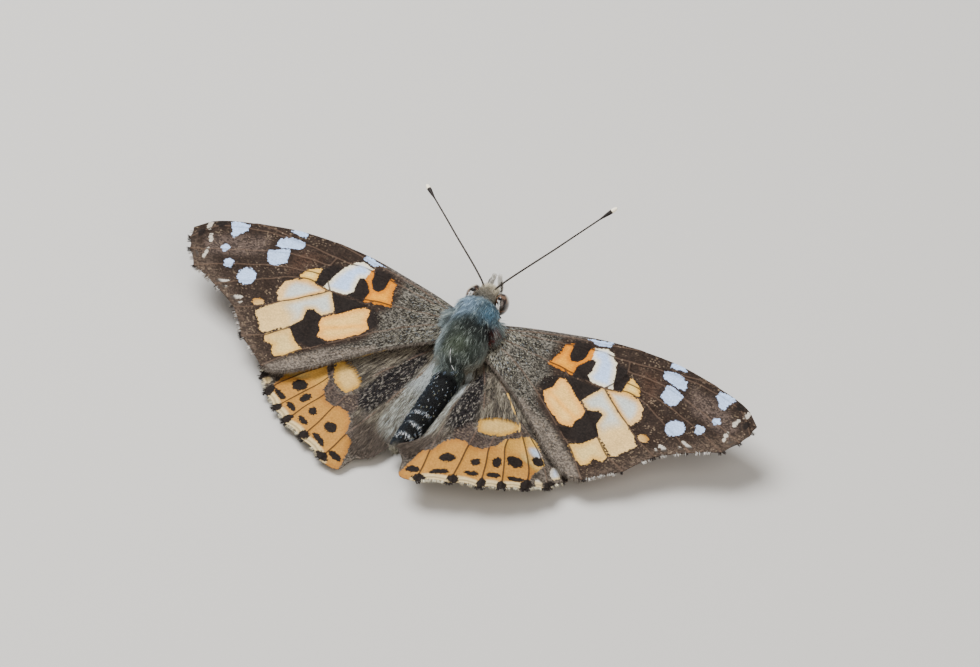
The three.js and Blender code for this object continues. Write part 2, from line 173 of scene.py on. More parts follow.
def wing_edge(wing):
    """The outline: front edge, scallops between the vein ends, inner margin."""
    line = [smooth(wing["costa"], EDGE_GAP)]
    start = np.array(wing["costa"][-1], float)
    for end in np.array(wing["vein_ends"], float):
        span = np.linalg.norm(end - start)
        t = np.linspace(0, 1, max(2, round(span / SCALLOP_GAP)), endpoint=False)[1:, None]
        inward = np.array([end[1] - start[1], start[0] - end[0]]) / span
        bow = wing["scallop"] * np.sin(math.pi * t)
        line.append(start + (end - start) * t + inward * bow)
        line.append(end[None])
        start = end
    line.append(smooth([start, *wing["inner"]], EDGE_GAP)[1:])
    return np.vstack(line)


def margins(wing, outline):
    """The outer margin, from wing tip to rear corner, and the inner margin after it."""
    start, stop = (np.argmin(np.linalg.norm(outline - wing[key][-1], axis=1))
                   for key in ("costa", "vein_ends"))
    return outline[start:stop + 1], outline[stop:]


# The wings, laid flat: x out from the midline, y forwards from the wing's root.
# The outline is costa, the front edge; vein_ends, with a scallop between each two; and inner.
# veins stand up and show dark, except inside unlined; fan is where fine streaks start.
# zones are (colour, softness, share of loose scales, outline), laid over the ground in turn;
# speckle is that share on the bare ground.
# patches are (colour at the rim, colour in the middle, outline), washes (colour, softness,
# outline) spread over them, marks are black outlines, and gold has fine gold lines.
# margin is the colour of patches close to the outer edge. The fringe has the colours of
# fringe, is dark up to dark_fringe from a vein's end, and fringe_kept of it isn't worn off.
# White scales, their blue cast a painted glare of the sky
WHITE_WITH_GLARE = "#b4cdf4"
GREY = "#bcb5a8"
forewing = {
    "costa": [(1.2, 0.4), (4.5, 1.5), (9.1, 2.6), (13.6, 3.5), (18.2, 3.85), (22.7, 3.65),
              (27.3, 2.7), (31.4, 1.3), (33.3, -0.4)],
    "vein_ends": [(33.1, -1.8), (32.5, -3.1), (31.2, -5), (28.1, -6.4), (24.8, -8.4),
                  (22.5, -11.5), (18.9, -14.3)],
    "inner": [(17.3, -14.25), (14.5, -12.6), (11.4, -9.9), (8, -7), (4.5, -4.6), (1.2, -2.6)],
    "scallop": 0.12,
    "veins": [
        [(2.9, 0.35), (8, 1.95), (14, 3.05), (18.2, 3.85)],
        [(2.9, 0.1), (8, 1.1), (13, 1.9), (17.3, 1.95), (22, 2.35), (27, 1.9), (31, 0.7),
            (33.1, -1.8)],
        [(22, 2.35), (25, 2.75), (27.3, 2.7)],
        [(17.3, 1.95), (17.6, 0.8), (17.3, -0.6), (16.2, -2.3)],
        [(17.6, 0.8), (22, 0.5), (27, -1), (32.5, -3.1)],
        [(17.3, -0.6), (22, -1.3), (27, -3.1), (31.2, -5)],
        [(2.9, -0.6), (9.3, -1.4), (16.2, -2.3), (18.6, -1.85), (20.5, -2.2), (24, -4.1),
            (28.1, -6.4)],
        [(16.2, -2.3), (18.3, -4.1), (20.4, -5.7), (22.4, -7.2), (24.8, -8.4)],
        [(11.3, -1.75), (14, -4.2), (17.9, -8.2), (20.1, -10.3), (22.5, -11.5)],
        [(2.9, -1.4), (6, -3), (9.1, -5.1), (13.8, -9), (16.2, -11.1), (18.9, -14.3)],
    ],
    "patches": [
        ("#c8770c", "#e3981e", [(9.3, -1.6), (9.9, 0.2), (10, 1.45), (10.9, 1.85), (11, 0.3),
            (11.4, -0.3), (12, -0.15), (12.6, 0.65), (12.7, 1.7), (13.2, 2.3), (13.6, 1.5),
            (13.4, 0.65), (12.9, 0.2), (12.3, -0.7), (12.4, -2.15), (10.9, -1.9)]),
        # Painted glare: cream scales that pale to a blue-white middle
        ("#e6dcc0", WHITE_WITH_GLARE, [(13.1, 2.3), (14.5, 2.65), (15.2, 2.25), (16.1, 1.2), (16.5, 0.1),
            (16.9, -1.4), (17.2, -2.1), (15.9, -2.2), (14.5, -2.1), (13.8, -1.4), (14, -0.4),
            (13.9, 0.55), (13.4, 0.75), (13, 1.4)]),
        ("#dba94c", "#ecd080", [(18.2, 0), (18.6, 0.1), (19.7, -0.8), (20, -1.5), (19.9, -2),
            (18.1, -2)]),
        # Painted glare: this patch and the next are buff scales that pale to a blue-grey middle
        ("#d8a65a", "#c3c9c4", [(16.5, -2.3), (16.8, -2.15), (18.9, -2), (20.2, -2.2),
            (21.2, -3.1), (21.4, -4.4), (20.8, -5.65), (20.4, -5.75), (18.3, -4.15)]),
        ("#d6b070", "#c3c8c0", [(15.9, -2.4), (16.4, -2.4), (18.3, -4.1), (20.4, -5.7),
            (21.6, -6.8), (22.5, -7.9), (21.6, -9), (21, -10), (20.6, -10.2), (18.2, -8.3),
            (17.3, -6.95), (17.45, -5.5), (16.8, -5.2), (15.7, -5.6), (14.55, -4.8),
            (14.8, -4.2)]),
        ("#a8742c", "#b89450", oval(22.7, -6.65, 0.65, 0.55)),
        ("#e2a048", "#eabb68", [(11.1, -2.75), (11, -4.2), (10.3, -5.15), (10.8, -6.1),
            (11.95, -7.2), (13.65, -8.4), (15.1, -8.2), (15.1, -7.4), (15.6, -6.7), (15.5, -5.8),
            (14.5, -4.9), (12.7, -3.3), (11.8, -2.75)]),
        ("#d3a656", "#d8ba78", [(15.7, -10.6), (16.8, -9.9), (17.6, -9), (18.2, -8.5),
            (20.3, -10.35), (20, -11), (18.9, -11.2), (18.75, -12), (18.1, -12.6), (17, -12),
            (16.2, -11.2)]),
        (WHITE_WITH_GLARE, WHITE_WITH_GLARE, [(21.25, 2.5), (22.7, 2.55), (24.1, 2), (24.2, 1), (23.4, 0.85),
            (21.8, 1.35), (21.25, 1.8)]),
        (WHITE_WITH_GLARE, WHITE_WITH_GLARE, [(22.2, 0.85), (23, 0.8), (24.5, 0.1), (24.4, -0.8), (23.75, -1.7),
            (22.95, -1.4), (22, -0.7), (22.3, 0.1)]),
        (WHITE_WITH_GLARE, WHITE_WITH_GLARE, [(12, 2.95), (14.6, 3.6), (14.6, 2.9), (13.2, 2.65)]),
        (WHITE_WITH_GLARE, WHITE_WITH_GLARE, [(21.5, 3.7), (23, 3.75), (23.5, 3.2), (21.6, 3.1)]),
        (WHITE_WITH_GLARE, WHITE_WITH_GLARE, [(27.8, 2.3), (29.5, 2.1), (29.8, 1.7), (29.3, 1), (29.2, 0.3),
            (28.75, 0.2), (27.7, 1.45)]),
        (WHITE_WITH_GLARE, WHITE_WITH_GLARE, oval(29, -1.45, 0.42, 0.52)),
        (WHITE_WITH_GLARE, WHITE_WITH_GLARE, oval(27.8, -3.2, 0.56, 0.58)),
        (WHITE_WITH_GLARE, WHITE_WITH_GLARE, oval(25.3, -4.05, 1.06, 1.15)),
        (GREY, GREY, oval(31.75, 0.55, 0.28, 0.5)),
        (GREY, GREY, oval(31, -0.85, 0.25, 0.6, -15)),
        (GREY, GREY, oval(30.7, -2.9, 0.22, 0.7)),
        (GREY, GREY, oval(31.7, -3.5, 0.42, 0.35)),
        (GREY, WHITE_WITH_GLARE, oval(27.5, -5.7, 0.95, 0.27, -25)),
        (GREY, WHITE_WITH_GLARE, oval(25.2, -7.0, 0.75, 0.27, -32)),
        (GREY, WHITE_WITH_GLARE, oval(27.1, -6.35, 0.6, 0.18, -25)),
        (GREY, WHITE_WITH_GLARE, oval(24.75, -7.6, 0.5, 0.17, -32)),
    ],
    "marks": [
        [(10.9, 2.3), (11, 0.3), (11.4, -0.3), (12, -0.15), (12.6, 0.65), (12.75, 2.3)],
        [(12.4, -2.2), (12.3, -0.7), (13, 0.25), (13.6, 0.75), (14, 0.4), (13.8, -1.35),
            (14.5, -2.2)],
        [(11.7, -2.45), (15.9, -2.5), (14.8, -4.2), (14.5, -4.9), (12.6, -3.3)],
        [(15.6, -5.7), (16.8, -5.25), (17.45, -5.5), (17.3, -6.95), (18.2, -8.35), (16.8, -9.8),
            (15, -9.9), (13.5, -8.9), (15.1, -8.3), (15.1, -7.4), (15.6, -6.7)],
        [(16.2, 1.3), (17.4, 1), (18.1, 0), (18.1, -2), (17.2, -2.05), (16.8, -0.9)],
        [(9.6, -3.4), (11, -2.6), (11, -4.2), (10.2, -5.2), (9.6, -4.6)],
        oval(30.6, 1.2, 0.55, 0.4, -25),
        oval(32.2, -0.7, 0.35, 0.5),
    ],
    "ground": "#2a201a",
    "speckle": 0.1,
    "washes": [
        ("#dcb878", 1.0, [(18.4, -6.6), (20.6, -5.4), (23.4, -7.4), (20.6, -10.8), (17.6, -8.4)]),
        ("#e0b676", 0.5, [(20.5, -2.2), (21.8, -3.2), (21.6, -5.9), (20.3, -5.9), (20.6, -4)]),
        ("#e8a544", 0.35, [(10.4, -4.5), (15.4, -7.1), (15.4, -7.6), (10.4, -5)]),
    ],
    "fan": (-1.5, 1.2),
    "margin": "#3f3833",
    "fringe": ["#5d5148", "#e4e2dc", "#8d857a"],
    "dark_fringe": 0.5,
    "fringe_kept": 0.5,
    "gold": [],
    "zones": [
        ("#40352d", 0.9, 0.3, [(19, -13.2), (21.6, -10.4), (23.9, -7.6), (27.2, -5.3),
            (31.4, -2.2), (34, -1), (33, -5), (28, -8), (23, -13), (19, -16)]),
        ("#3b2b22", 0.9, 0.25, [(18.6, 1.7), (21.2, 1.3), (21.6, -0.6), (21.4, -1.9), (20, -0.9)]),
        ("#453a34", 0.7, 0.4, [(25, 1.7), (29, 0.4), (31.5, -1), (31, -3), (26.6, -1.6),
            (25, -0.4)]),
        ("#47443e", 0.6, 0.9, [(0, 4), (7.6, 3.4), (9.2, 1.9), (9, -1.4), (10.2, -3), (9.3, -5),
            (10.2, -7), (13.8, -9.8), (17.4, -13), (16.6, -15.5), (0, -7)]),
        ("#5d554d", 0.35, 0.3, [(8.6, -6.9), (13.4, -9.6), (16.9, -12.3), (18.6, -14), (17, -15),
            (8, -8.4)]),
        ("#46413d", 0.4, 0.6, [(2, 1.2), (7, 2.9), (12, 4), (12, 2.75), (7, 1.7), (3, 0.6)]),
    ],
}

# The hindwing has a black groove along the body, and a silvery fold at its inner edge
GROOVE = [(0.2, -3.5), (1.5, -3.5), (2.8, -8), (3.4, -12), (2.4, -13.6), (0.6, -13.8),
          (-0.2, -9)]
FOLD = [(-0.3, -3), (-0.2, -9), (-0.7, -13), (-2, -15.5), (-5, -15), (-5, -7), (-2, -3)]
hindwing = {
    "costa": [(-0.4, 0.9), (4, -0.2), (8, -2.2), (11.5, -5), (14, -8.3), (15.2, -11.5)],
    "vein_ends": [(14.9, -13.8), (13.6, -16.2), (11.7, -17.9), (9.5, -19.2), (7.4, -20.2),
                  (4.35, -21), (0.9, -22.3)],
    "inner": [(-1.3, -22), (-1.9, -19.9), (-3.2, -18.2), (-3.9, -14), (-3.5, -11.3),
              (-3, -8), (-1.9, -5.2), (-1.6, -1.5)],
    "scallop": 0.34,
    "veins": [
        [(0.4, -0.6), (4, -2.2), (9, -5.2), (12.6, -9), (14.9, -13.8)],
        [(0.4, -0.9), (2.8, -3.7), (5.1, -6.2), (6.6, -8.2), (9.5, -10.6), (12, -13.4),
            (13.6, -16.2)],
        [(6.6, -8.2), (7.8, -9.9), (9.5, -12.4), (11.1, -15.4), (11.7, -17.9)],
        [(7.8, -9.9), (7.3, -11.6), (6, -11.4), (4, -12)],
        [(7.3, -11.6), (7.6, -13.6), (8.3, -15.4), (9.5, -19.2)],
        [(6, -11.4), (6.2, -14.6), (6.8, -17), (7.4, -20.2)],
        [(0.2, -1.8), (2.2, -6.2), (3.5, -9.8), (4, -12), (4.2, -16.5), (4.35, -21)],
        [(-0.4, -2.6), (-0.3, -8), (0.1, -13), (0.7, -18), (0.9, -22.3)],
    ],
    "patches": [
        ("#9f6c30", "#ac7a36", [(6.7, -14), (7.15, -12.35), (8.3, -11.25), (9.5, -13.5),
            (11.5, -14.6), (11.7, -17.9), (9.5, -19.4), (7.4, -20.5), (4.35, -21.4), (1, -22.8),
            (-1.6, -22), (-0.9, -20), (-0.7, -19.2), (-0.3, -18.1), (0.75, -17.75), (1, -17.1),
            (1.5, -15.95), (2.6, -15.05), (3.6, -15), (4.3, -15.3), (5.6, -15)]),
        ("#96702f", "#b0955c", [(8.3, -11.25), (8.9, -10.3), (9.75, -10.3), (11, -11.8),
            (12, -13.3), (11.6, -14.7), (9.5, -14.3), (8, -12.4)]),
        ("#b08538", "#c6a360", [(5.1, -9.75), (6.1, -9.25), (7, -8.85), (7.75, -9.9),
            (7.65, -10.8), (6.7, -12.15), (5.4, -12.85), (4.4, -13.15), (4, -12.45),
            (3.65, -11.25), (4.2, -10.35)]),
        (GREY, WHITE_WITH_GLARE, oval(13.3, -13.5, 0.55, 0.95, 20)),
        (GREY, WHITE_WITH_GLARE, oval(12.6, -16.3, 0.4, 0.8, 30)),
    ],
    "marks": [
        oval(9.24, -14.82, 0.92, 0.85),
        oval(7.63, -15.9, 0.56, 0.76, 10),
        oval(5.7, -17.12, 0.56, 0.46, 30),
        oval(2.74, -17.9, 0.9, 0.66, 30),
        oval(11.15, -13.15, 0.72, 0.56, -40),
        oval(10.25, -17.0, 0.95, 0.36, 20),
        oval(8.07, -17.85, 0.74, 0.38, 22),
        oval(5.84, -18.72, 0.8, 0.34, 20),
        oval(2.72, -20.0, 1.15, 0.38, 26),
        oval(-0.1, -20.8, 0.9, 0.48, 10),
        oval(11.55, -17.35, 0.6, 0.95, 0),
        oval(9.35, -18.8, 0.5, 0.68, 0),
        oval(7.34, -19.55, 0.5, 0.74, 0),
        oval(4.42, -20.4, 0.68, 0.6, 0),
        oval(1.05, -21.75, 0.85, 0.55, 0),
        oval(13.6, -15.6, 0.6, 0.85, 0),
        oval(14.5, -13.4, 0.4, 0.7, 0),
    ],
    "ground": "#48423b",
    "speckle": 0.5,
    "washes": [
        ("#c9a050", 0.5, [(7.6, -9.9), (9, -9.4), (12.5, -13.2), (11.6, -14), (9.4, -11.2)]),
        ("#ba8c40", 0.8, [(6.9, -12.2), (9, -10.8), (11.5, -13.8), (9.4, -13.2), (7, -13.8)]),
        ("#a3b2c8", 0.4, oval(10.5, -12.15, 0.75, 0.5, -30)),
    ],
    "unlined": [(5.1, -9.75), (7.75, -9.9), (7.65, -10.8), (6.7, -12.15), (4.4, -13.15),
        (3.4, -11.3)],
    "fan": (0.5, 5),
    "margin": "#cdb584",
    "fringe": ["#ece4c8", "#b5a98c", "#6b6055"],
    "dark_fringe": 0.62,
    "fringe_kept": 0.75,
    "gold": [[(4.6, -5.6), (6.1, -7.6), (7.5, -9.3), (7.9, -10.4)]],
    "zones": [
        ("#433e39", 0.9, 0.35, [(5.4, -5), (8, -6), (12, -9), (15.5, -12), (13, -14), (11, -11),
            (9, -9.6), (7.8, -9.2), (6.6, -7.6)]),
        ("#3c332e", 0.35, 0.25, [(7.9, -9.9), (9, -10), (8.2, -11.2), (7.2, -12.1), (6.8, -13.6),
            (6.2, -14.8), (4.3, -15.3), (2.2, -15.2), (1.5, -12.8), (3.2, -12.2), (4.3, -13.4),
            (5.5, -13.1), (6.8, -12.3), (7.6, -11)]),
        ("#352e29", 0.3, 0.5, [(4.2, -10), (4.8, -8.8), (5.9, -8), (6.5, -8.9), (5.6, -9.3)]),
        ("#272322", 0.5, 0.8, GROOVE),
        ("#5c574f", 0.4, 0.5, FOLD),
        ("#463f3a", 0.5, 0.4, [(1, -14), (1, -17.4), (-0.6, -18.6), (-1.5, -19.6), (-3.6, -18.8),
            (-4.4, -15), (-1, -14.5)]),
        ("#4a433c", 0.3, 0.5, [(11.8, -13), (15.5, -11.5), (15.3, -15), (12.5, -18), (11.7, -15)]),
    ],
}

HINDWING_ROOT = (2.0, -1.5)
# reach moves the hindwing along y, rise lifts it behind the forewing over rise_length, under is
# its height below the forewing's plane, and gutter is the bend of its inner edge, in degrees.
POSE = {
    "right": {"swing": 2, "reach": 0.3, "rise": 4.73, "rise_length": 6,
              "under": -1.27, "gutter": 45, "gutter_rear": 0.25},
    "left": {"swing": 12.5, "reach": -0.3, "rise": 5, "rise_length": 26,
             "under": -1.36, "gutter": 12, "gutter_rear": 1},
}


def turned(first, second, degrees):
    """Two coordinates turned about the third."""
    c, s = math.cos(math.radians(degrees)), math.sin(math.radians(degrees))
    return first * c - second * s, first * s + second * c


def ramped(value, soft):
    """0 where value is below 0, else value itself, with a soft corner between."""
    return soft * np.log1p(np.exp(value / soft))


def forewing_place(flat, height, side):
    """A point of the forewing's plane, at a height over that plane."""
    y, z = turned(flat[:, 1], height, WING_FALL)
    return np.stack([side * flat[:, 0], y, ROOT_HEIGHT + z], axis=1)


def hindwing_place(flat, height, side):
    """The hindwing passes under the forewing and rises or falls behind it."""
    pose = POSE["right" if side > 0 else "left"]
    gutter_x = 1.2
    rear = 1 - (1 - pose["gutter_rear"]) * (1 - step(-19, -14, flat[:, 1]))
    bent = ramped(gutter_x - flat[:, 0], 0.35) * (1 - step(-5, -2, flat[:, 1])) * rear
    x = flat[:, 0] + bent * (1 - math.cos(math.radians(pose["gutter"])))
    y = flat[:, 1] + pose["reach"] * np.minimum(1, -flat[:, 1] / 8)
    x, y = turned(x, y, pose["swing"])
    # Distance behind the forewing's rear edge, and closeness to the root, which stays low
    behind = -0.69 * (x - 0.85) - 0.7235 * (y - 1.5)
    away = 1 - np.exp(-(np.hypot(x, y) / 7) ** 2)
    rise = pose["rise"] * (1 - np.exp(-ramped(behind - 1, 0.8) / pose["rise_length"])) * away
    rise = rise - bent * math.sin(math.radians(pose["gutter"]))
    moved = np.stack([HINDWING_ROOT[0] + x, HINDWING_ROOT[1] + y], axis=1)
    return forewing_place(moved, pose["under"] + rise + height, side)


# Object and mesh helpers

def alone(obj):
    """Makes obj the only selected object."""
    bpy.ops.object.select_all(action="DESELECT")
    obj.select_set(True)
    bpy.context.view_layer.objects.active = obj


def added(name):
    """The primitive that was just added, named, the only one selected."""
    obj = bpy.context.active_object
    obj.name = name
    obj.data.name = name
    alone(obj)
    return obj


def joined(name, parts):
    """Several pieces as one object."""
    bpy.ops.object.select_all(action="DESELECT")
    for part in parts:
        part.select_set(True)
    bpy.context.view_layer.objects.active = parts[0]
    if len(parts) > 1:
        bpy.ops.object.join()
    return added(name)


def finish_modifiers(obj):
    """Makes every modifier's result part of the mesh."""
    alone(obj)
    for modifier in list(obj.modifiers):
        bpy.ops.object.modifier_apply(modifier=modifier.name)


def values_of(items, key, width=1, kind=np.int32):
    """One property of all a mesh's points, edges, corners or faces, as an array."""
    values = np.zeros(len(items) * width, kind)
    items.foreach_get(key, values)
    return values.reshape(-1, width) if width > 1 else values


def coords(obj):
    """An object's points, in metres in the frame."""
    return values_of(obj.data.vertices, "co", 3, np.float32).astype(float)


def in_mm(obj):
    """An object's points, in millimetres on the butterfly."""
    return coords(obj) / MM - (0, FORWARD, 0)


def set_coords(obj, points):
    """Moves an object's points to places in metres."""
    obj.data.vertices.foreach_set("co", np.asarray(points, np.float32).ravel())
    obj.data.update()


def store(obj, name, values):
    """Keeps a number or a colour for each vertex."""
    values = np.asarray(values, np.float32)
    if values.ndim == 1:
        attribute = obj.data.attributes.new(name, "FLOAT", "POINT")
        attribute.data.foreach_set("value", values)
    else:
        attribute = obj.data.attributes.new(name, "FLOAT_COLOR", "POINT")
        full = np.column_stack([values, np.ones(len(values))]).astype(np.float32)
        attribute.data.foreach_set("color", full.ravel())


def edit_only(obj, kind, chosen):
    """Edit mode, with only the faces or edges selected that a mask names."""
    bpy.ops.object.mode_set(mode="EDIT")
    bpy.ops.mesh.select_mode(type=kind)
    bpy.ops.mesh.select_all(action="DESELECT")
    bpy.ops.object.mode_set(mode="OBJECT")
    items = obj.data.polygons if kind == "FACE" else obj.data.edges
    items.foreach_set("select", chosen)
    bpy.ops.object.mode_set(mode="EDIT")


def dress(obj, material, slot, *nodes):
    """The finish, or None where it is on already, the body, the slot, which is not used, and the
    replaced nodes.
    """
    if material:
        obj.data.materials.append(material)
    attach(obj, "root")
    if nodes:
        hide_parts(*nodes)


def add(tree, kind, sockets=(), **settings):
    """One shader node: its settings, then each input as a value or another node's output."""
    made = tree.nodes.new("ShaderNode" + kind)
    for key, value in settings.items():
        setattr(made, key, value)
    for name, value in dict(sockets).items():
        if isinstance(value, bpy.types.NodeSocket):
            tree.links.new(value, made.inputs[name])
        else:
            made.inputs[name].default_value = value
    return made


def new_material(name, **surface):
    """A material with one Principled surface, and its constants on its own sockets."""
    material = bpy.data.materials.new(name)
    material.use_nodes = True
    tree = material.node_tree
    shader = tree.nodes["Principled BSDF"]
    for key, value in surface.items():
        shader.inputs[key.replace("_", " ").title().replace("Ior", "IOR")].default_value = value
    return material, tree, shader


def ramp(tree, factor, stops):
    """A colour ramp from (place, hex colour) stops."""
    made = add(tree, "ValToRGB", {"Fac": factor})
    elements = made.color_ramp.elements
    while len(elements) < len(stops):
        elements.new(0.5)
    for element, (at, code) in zip(elements, stops):
        element.position = at
        element.color = linear(code) if isinstance(code, str) else (code, code, code, 1)
    return made.outputs["Color"]


def mixed(tree, factor, first, second, kind="MIX"):
    """The first colour where factor is 0, the second where it is 1."""
    made = add(tree, "Mix", {0: factor, 6: first, 7: second}, data_type="RGBA", blend_type=kind)
    return made.outputs[2]


def maths(tree, operation, first, *others):
    """One operation on several values, from the first to the last."""
    for other in others:
        first = add(tree, "Math", {0: first, 1: other}, operation=operation).outputs[0]
    return first


def product(tree, *values):
    """Values multiplied together."""
    return maths(tree, "MULTIPLY", *values)


def grain(tree, vector, size_mm, detail=2.0, **more):
    """Noise with features of a real size in millimetres, about 0.5 in the mean."""
    sockets = {"Vector": vector, "Scale": 1 / (size_mm * MM), "Detail": detail, **more}
    return add(tree, "TexNoise", sockets).outputs["Fac"]


def ease(tree, value, low, high):
    """0 at low, 1 at high, and smooth between."""
    made = add(tree, "MapRange", {"Value": value, "From Min": low, "From Max": high},
               interpolation_type="SMOOTHSTEP")
    return made.outputs[0]


def relief(tree, shader, height, strength, depth_mm, invert=False):
    """Fine relief of a real depth in millimetres."""
    bump = add(tree, "Bump", {"Strength": strength, "Distance": depth_mm * MM, "Height": height},
               invert=invert)
    tree.links.new(bump.outputs[0], shader.inputs["Normal"])


# Wings

MEMBRANE = 0.11              # thickness of membrane with both coats of scales
GRID = 0.105                 # spacing of the wing surface's points
VEIN = {"height": 0.09, "width": 0.13}
SAG = {"depth": 0.11, "width": 0.8}      # of the membrane between the veins


def colours_of(wing, flat):
    """Ground, patch colour, depths of patch and mark, and share of loose scales at each point."""
    ground = np.tile(rgb(wing["ground"]), (len(flat), 1))
    speckle = np.full(len(flat), wing["speckle"])
    for code, soft, grainy, outline in wing["zones"]:
        share = step(-soft, soft, depth(flat, outline))
        ground = blend(ground, rgb(code), share[:, None])
        speckle = blend(speckle, grainy, share)
    patch = np.full(len(flat), -FAR)
    tint = np.tile(rgb(wing["patches"][0][0]), (len(flat), 1))
    for rim, middle, outline in wing["patches"]:
        inside = depth(flat, outline)
        colour = blend(rgb(rim), rgb(middle), step(0.05, 0.9, inside)[:, None])
        better = inside > patch
        tint[better] = colour[better]
        patch[better] = inside[better]
    for code, soft, outline in wing["washes"]:
        tint = blend(tint, rgb(code), step(-soft, soft, depth(flat, outline))[:, None])
    black = np.full(len(flat), -FAR)
    for outline in wing["marks"]:
        black = np.maximum(black, depth(flat, outline))
    return ground, tint, patch, black, speckle


def near_lines(flat, lines):
    """Distance to the nearest of several curves."""
    best = np.full(len(flat), FAR)
    for line in lines:
        best = np.minimum(best, to_lines(flat, smooth(line, 0.4))[0])
    return best


def wing_sheet(name, wing, put, side, materials):
    """One wing: a grid cut to the outline, laid in place, ridged at its veins, made thick.

    materials are the upper side's and the underside's.
    """
    outline = wing_edge(wing)
    low, high = outline.min(0) - 0.05, outline.max(0) + 0.05
    counts = np.ceil((high - low) / GRID).astype(int)
    bpy.ops.object.select_all(action="DESELECT")
    bpy.ops.mesh.primitive_grid_add(x_subdivisions=int(counts[0]), y_subdivisions=int(counts[1]),
                                    size=1)
    obj = added(name)
    flat = (coords(obj)[:, :2] + 0.5) * (high - low) + low
    middles = flat[values_of(obj.data.loops, "vertex_index").reshape(-1, 4)].mean(axis=1)
    hidden = in_body(put(middles, 0 * middles[:, 0], side), -0.15)
    set_coords(obj, np.column_stack([flat, np.zeros(len(flat))]))
    edit_only(obj, "FACE", ~within(middles, outline) | hidden)
    bpy.ops.mesh.delete(type="FACE")
    bpy.ops.object.mode_set(mode="OBJECT")

    # The rim's points go onto the true outline, but those that end in the body stay
    flat = coords(obj)[:, :2]
    uses = np.bincount(values_of(obj.data.loops, "edge_index"), minlength=len(obj.data.edges))
    rim = np.unique(values_of(obj.data.edges, "vertices", 2)[uses == 1])
    gap, nearest = to_lines(flat[rim], outline, closed=True)
    flat[rim[gap < 2 * GRID]] = nearest[gap < 2 * GRID]

    edge, _ = to_lines(flat, outline, closed=True)
    vein = near_lines(flat, wing["veins"])
    ground, tint, patch, black, speckle = colours_of(wing, flat)
    shown_vein = vein.copy()
    if "unlined" in wing:
        shown_vein[depth(flat, wing["unlined"]) > 0] += FAR

    # Veins stand up, the membrane sags between them, and the whole sheet waves a little
    fade = step(0, 1.2, edge)
    height = VEIN["height"] * np.exp(-(vein / VEIN["width"]) ** 2)
    height -= SAG["depth"] * (1 - np.exp(-(vein / SAG["width"]) ** 2)) * fade
    height += 0.06 * np.sin(flat[:, 0] * 0.9 + flat[:, 1] * 1.7) * fade
    height += 0.05 * np.sin(flat[:, 0] * 2.3 - flat[:, 1] * 0.7 + 1) * fade
    set_coords(obj, place(put(flat, height, side)))

    corners = values_of(obj.data.loops, "vertex_index")
    away = flat - wing["fan"]
    fan = np.column_stack([15 * np.arctan2(away[:, 1], away[:, 0]), np.hypot(*away.T)])
    for key, places in (("flat", flat), ("fan", fan)):
        uv = obj.data.uv_layers.new(name=key)
        uv.data.foreach_set("uv", (places[corners] / UNWRAP).astype(np.float32).ravel())
    for key, values in [("ground", ground), ("tint", tint), ("patch", patch), ("black", black),
                        ("speckle", speckle), ("vein", shown_vein),
                        ("margin", to_lines(flat, margins(wing, outline)[0])[0]),
                        ("gold", near_lines(flat, wing["gold"]))]:
        store(obj, key, values)
    if side < 0:
        bpy.ops.object.mode_set(mode="EDIT")
        bpy.ops.mesh.select_all(action="SELECT")
        bpy.ops.mesh.flip_normals()
        bpy.ops.object.mode_set(mode="OBJECT")
    for material in materials:
        obj.data.materials.append(material)
    thick = obj.modifiers.new("thick", "SOLIDIFY")
    thick.thickness = MEMBRANE * MM
    thick.offset = 0
    thick.material_offset = 1
    finish_modifiers(obj)
    bpy.ops.object.shade_smooth_by_angle(angle=math.radians(50))
    return obj, outline


# The undersides: paler and marbled, the forewing's rosy, the hindwing's with ringed eyespots
FORE_UNDER = {"margin": "#a08a63", "ground": "#8f7a57", "blotch": "#5d4f3a", "vein": "#a8946c",
              "wash": "#d98f78", "share": 0.45, "eyespots": False}
HIND_UNDER = {"margin": "#cbb78a", "ground": "#a39272", "blotch": "#5f5039", "vein": "#e0d6bd",
              "wash": "#b5a27f", "share": 0.75, "eyespots": True}


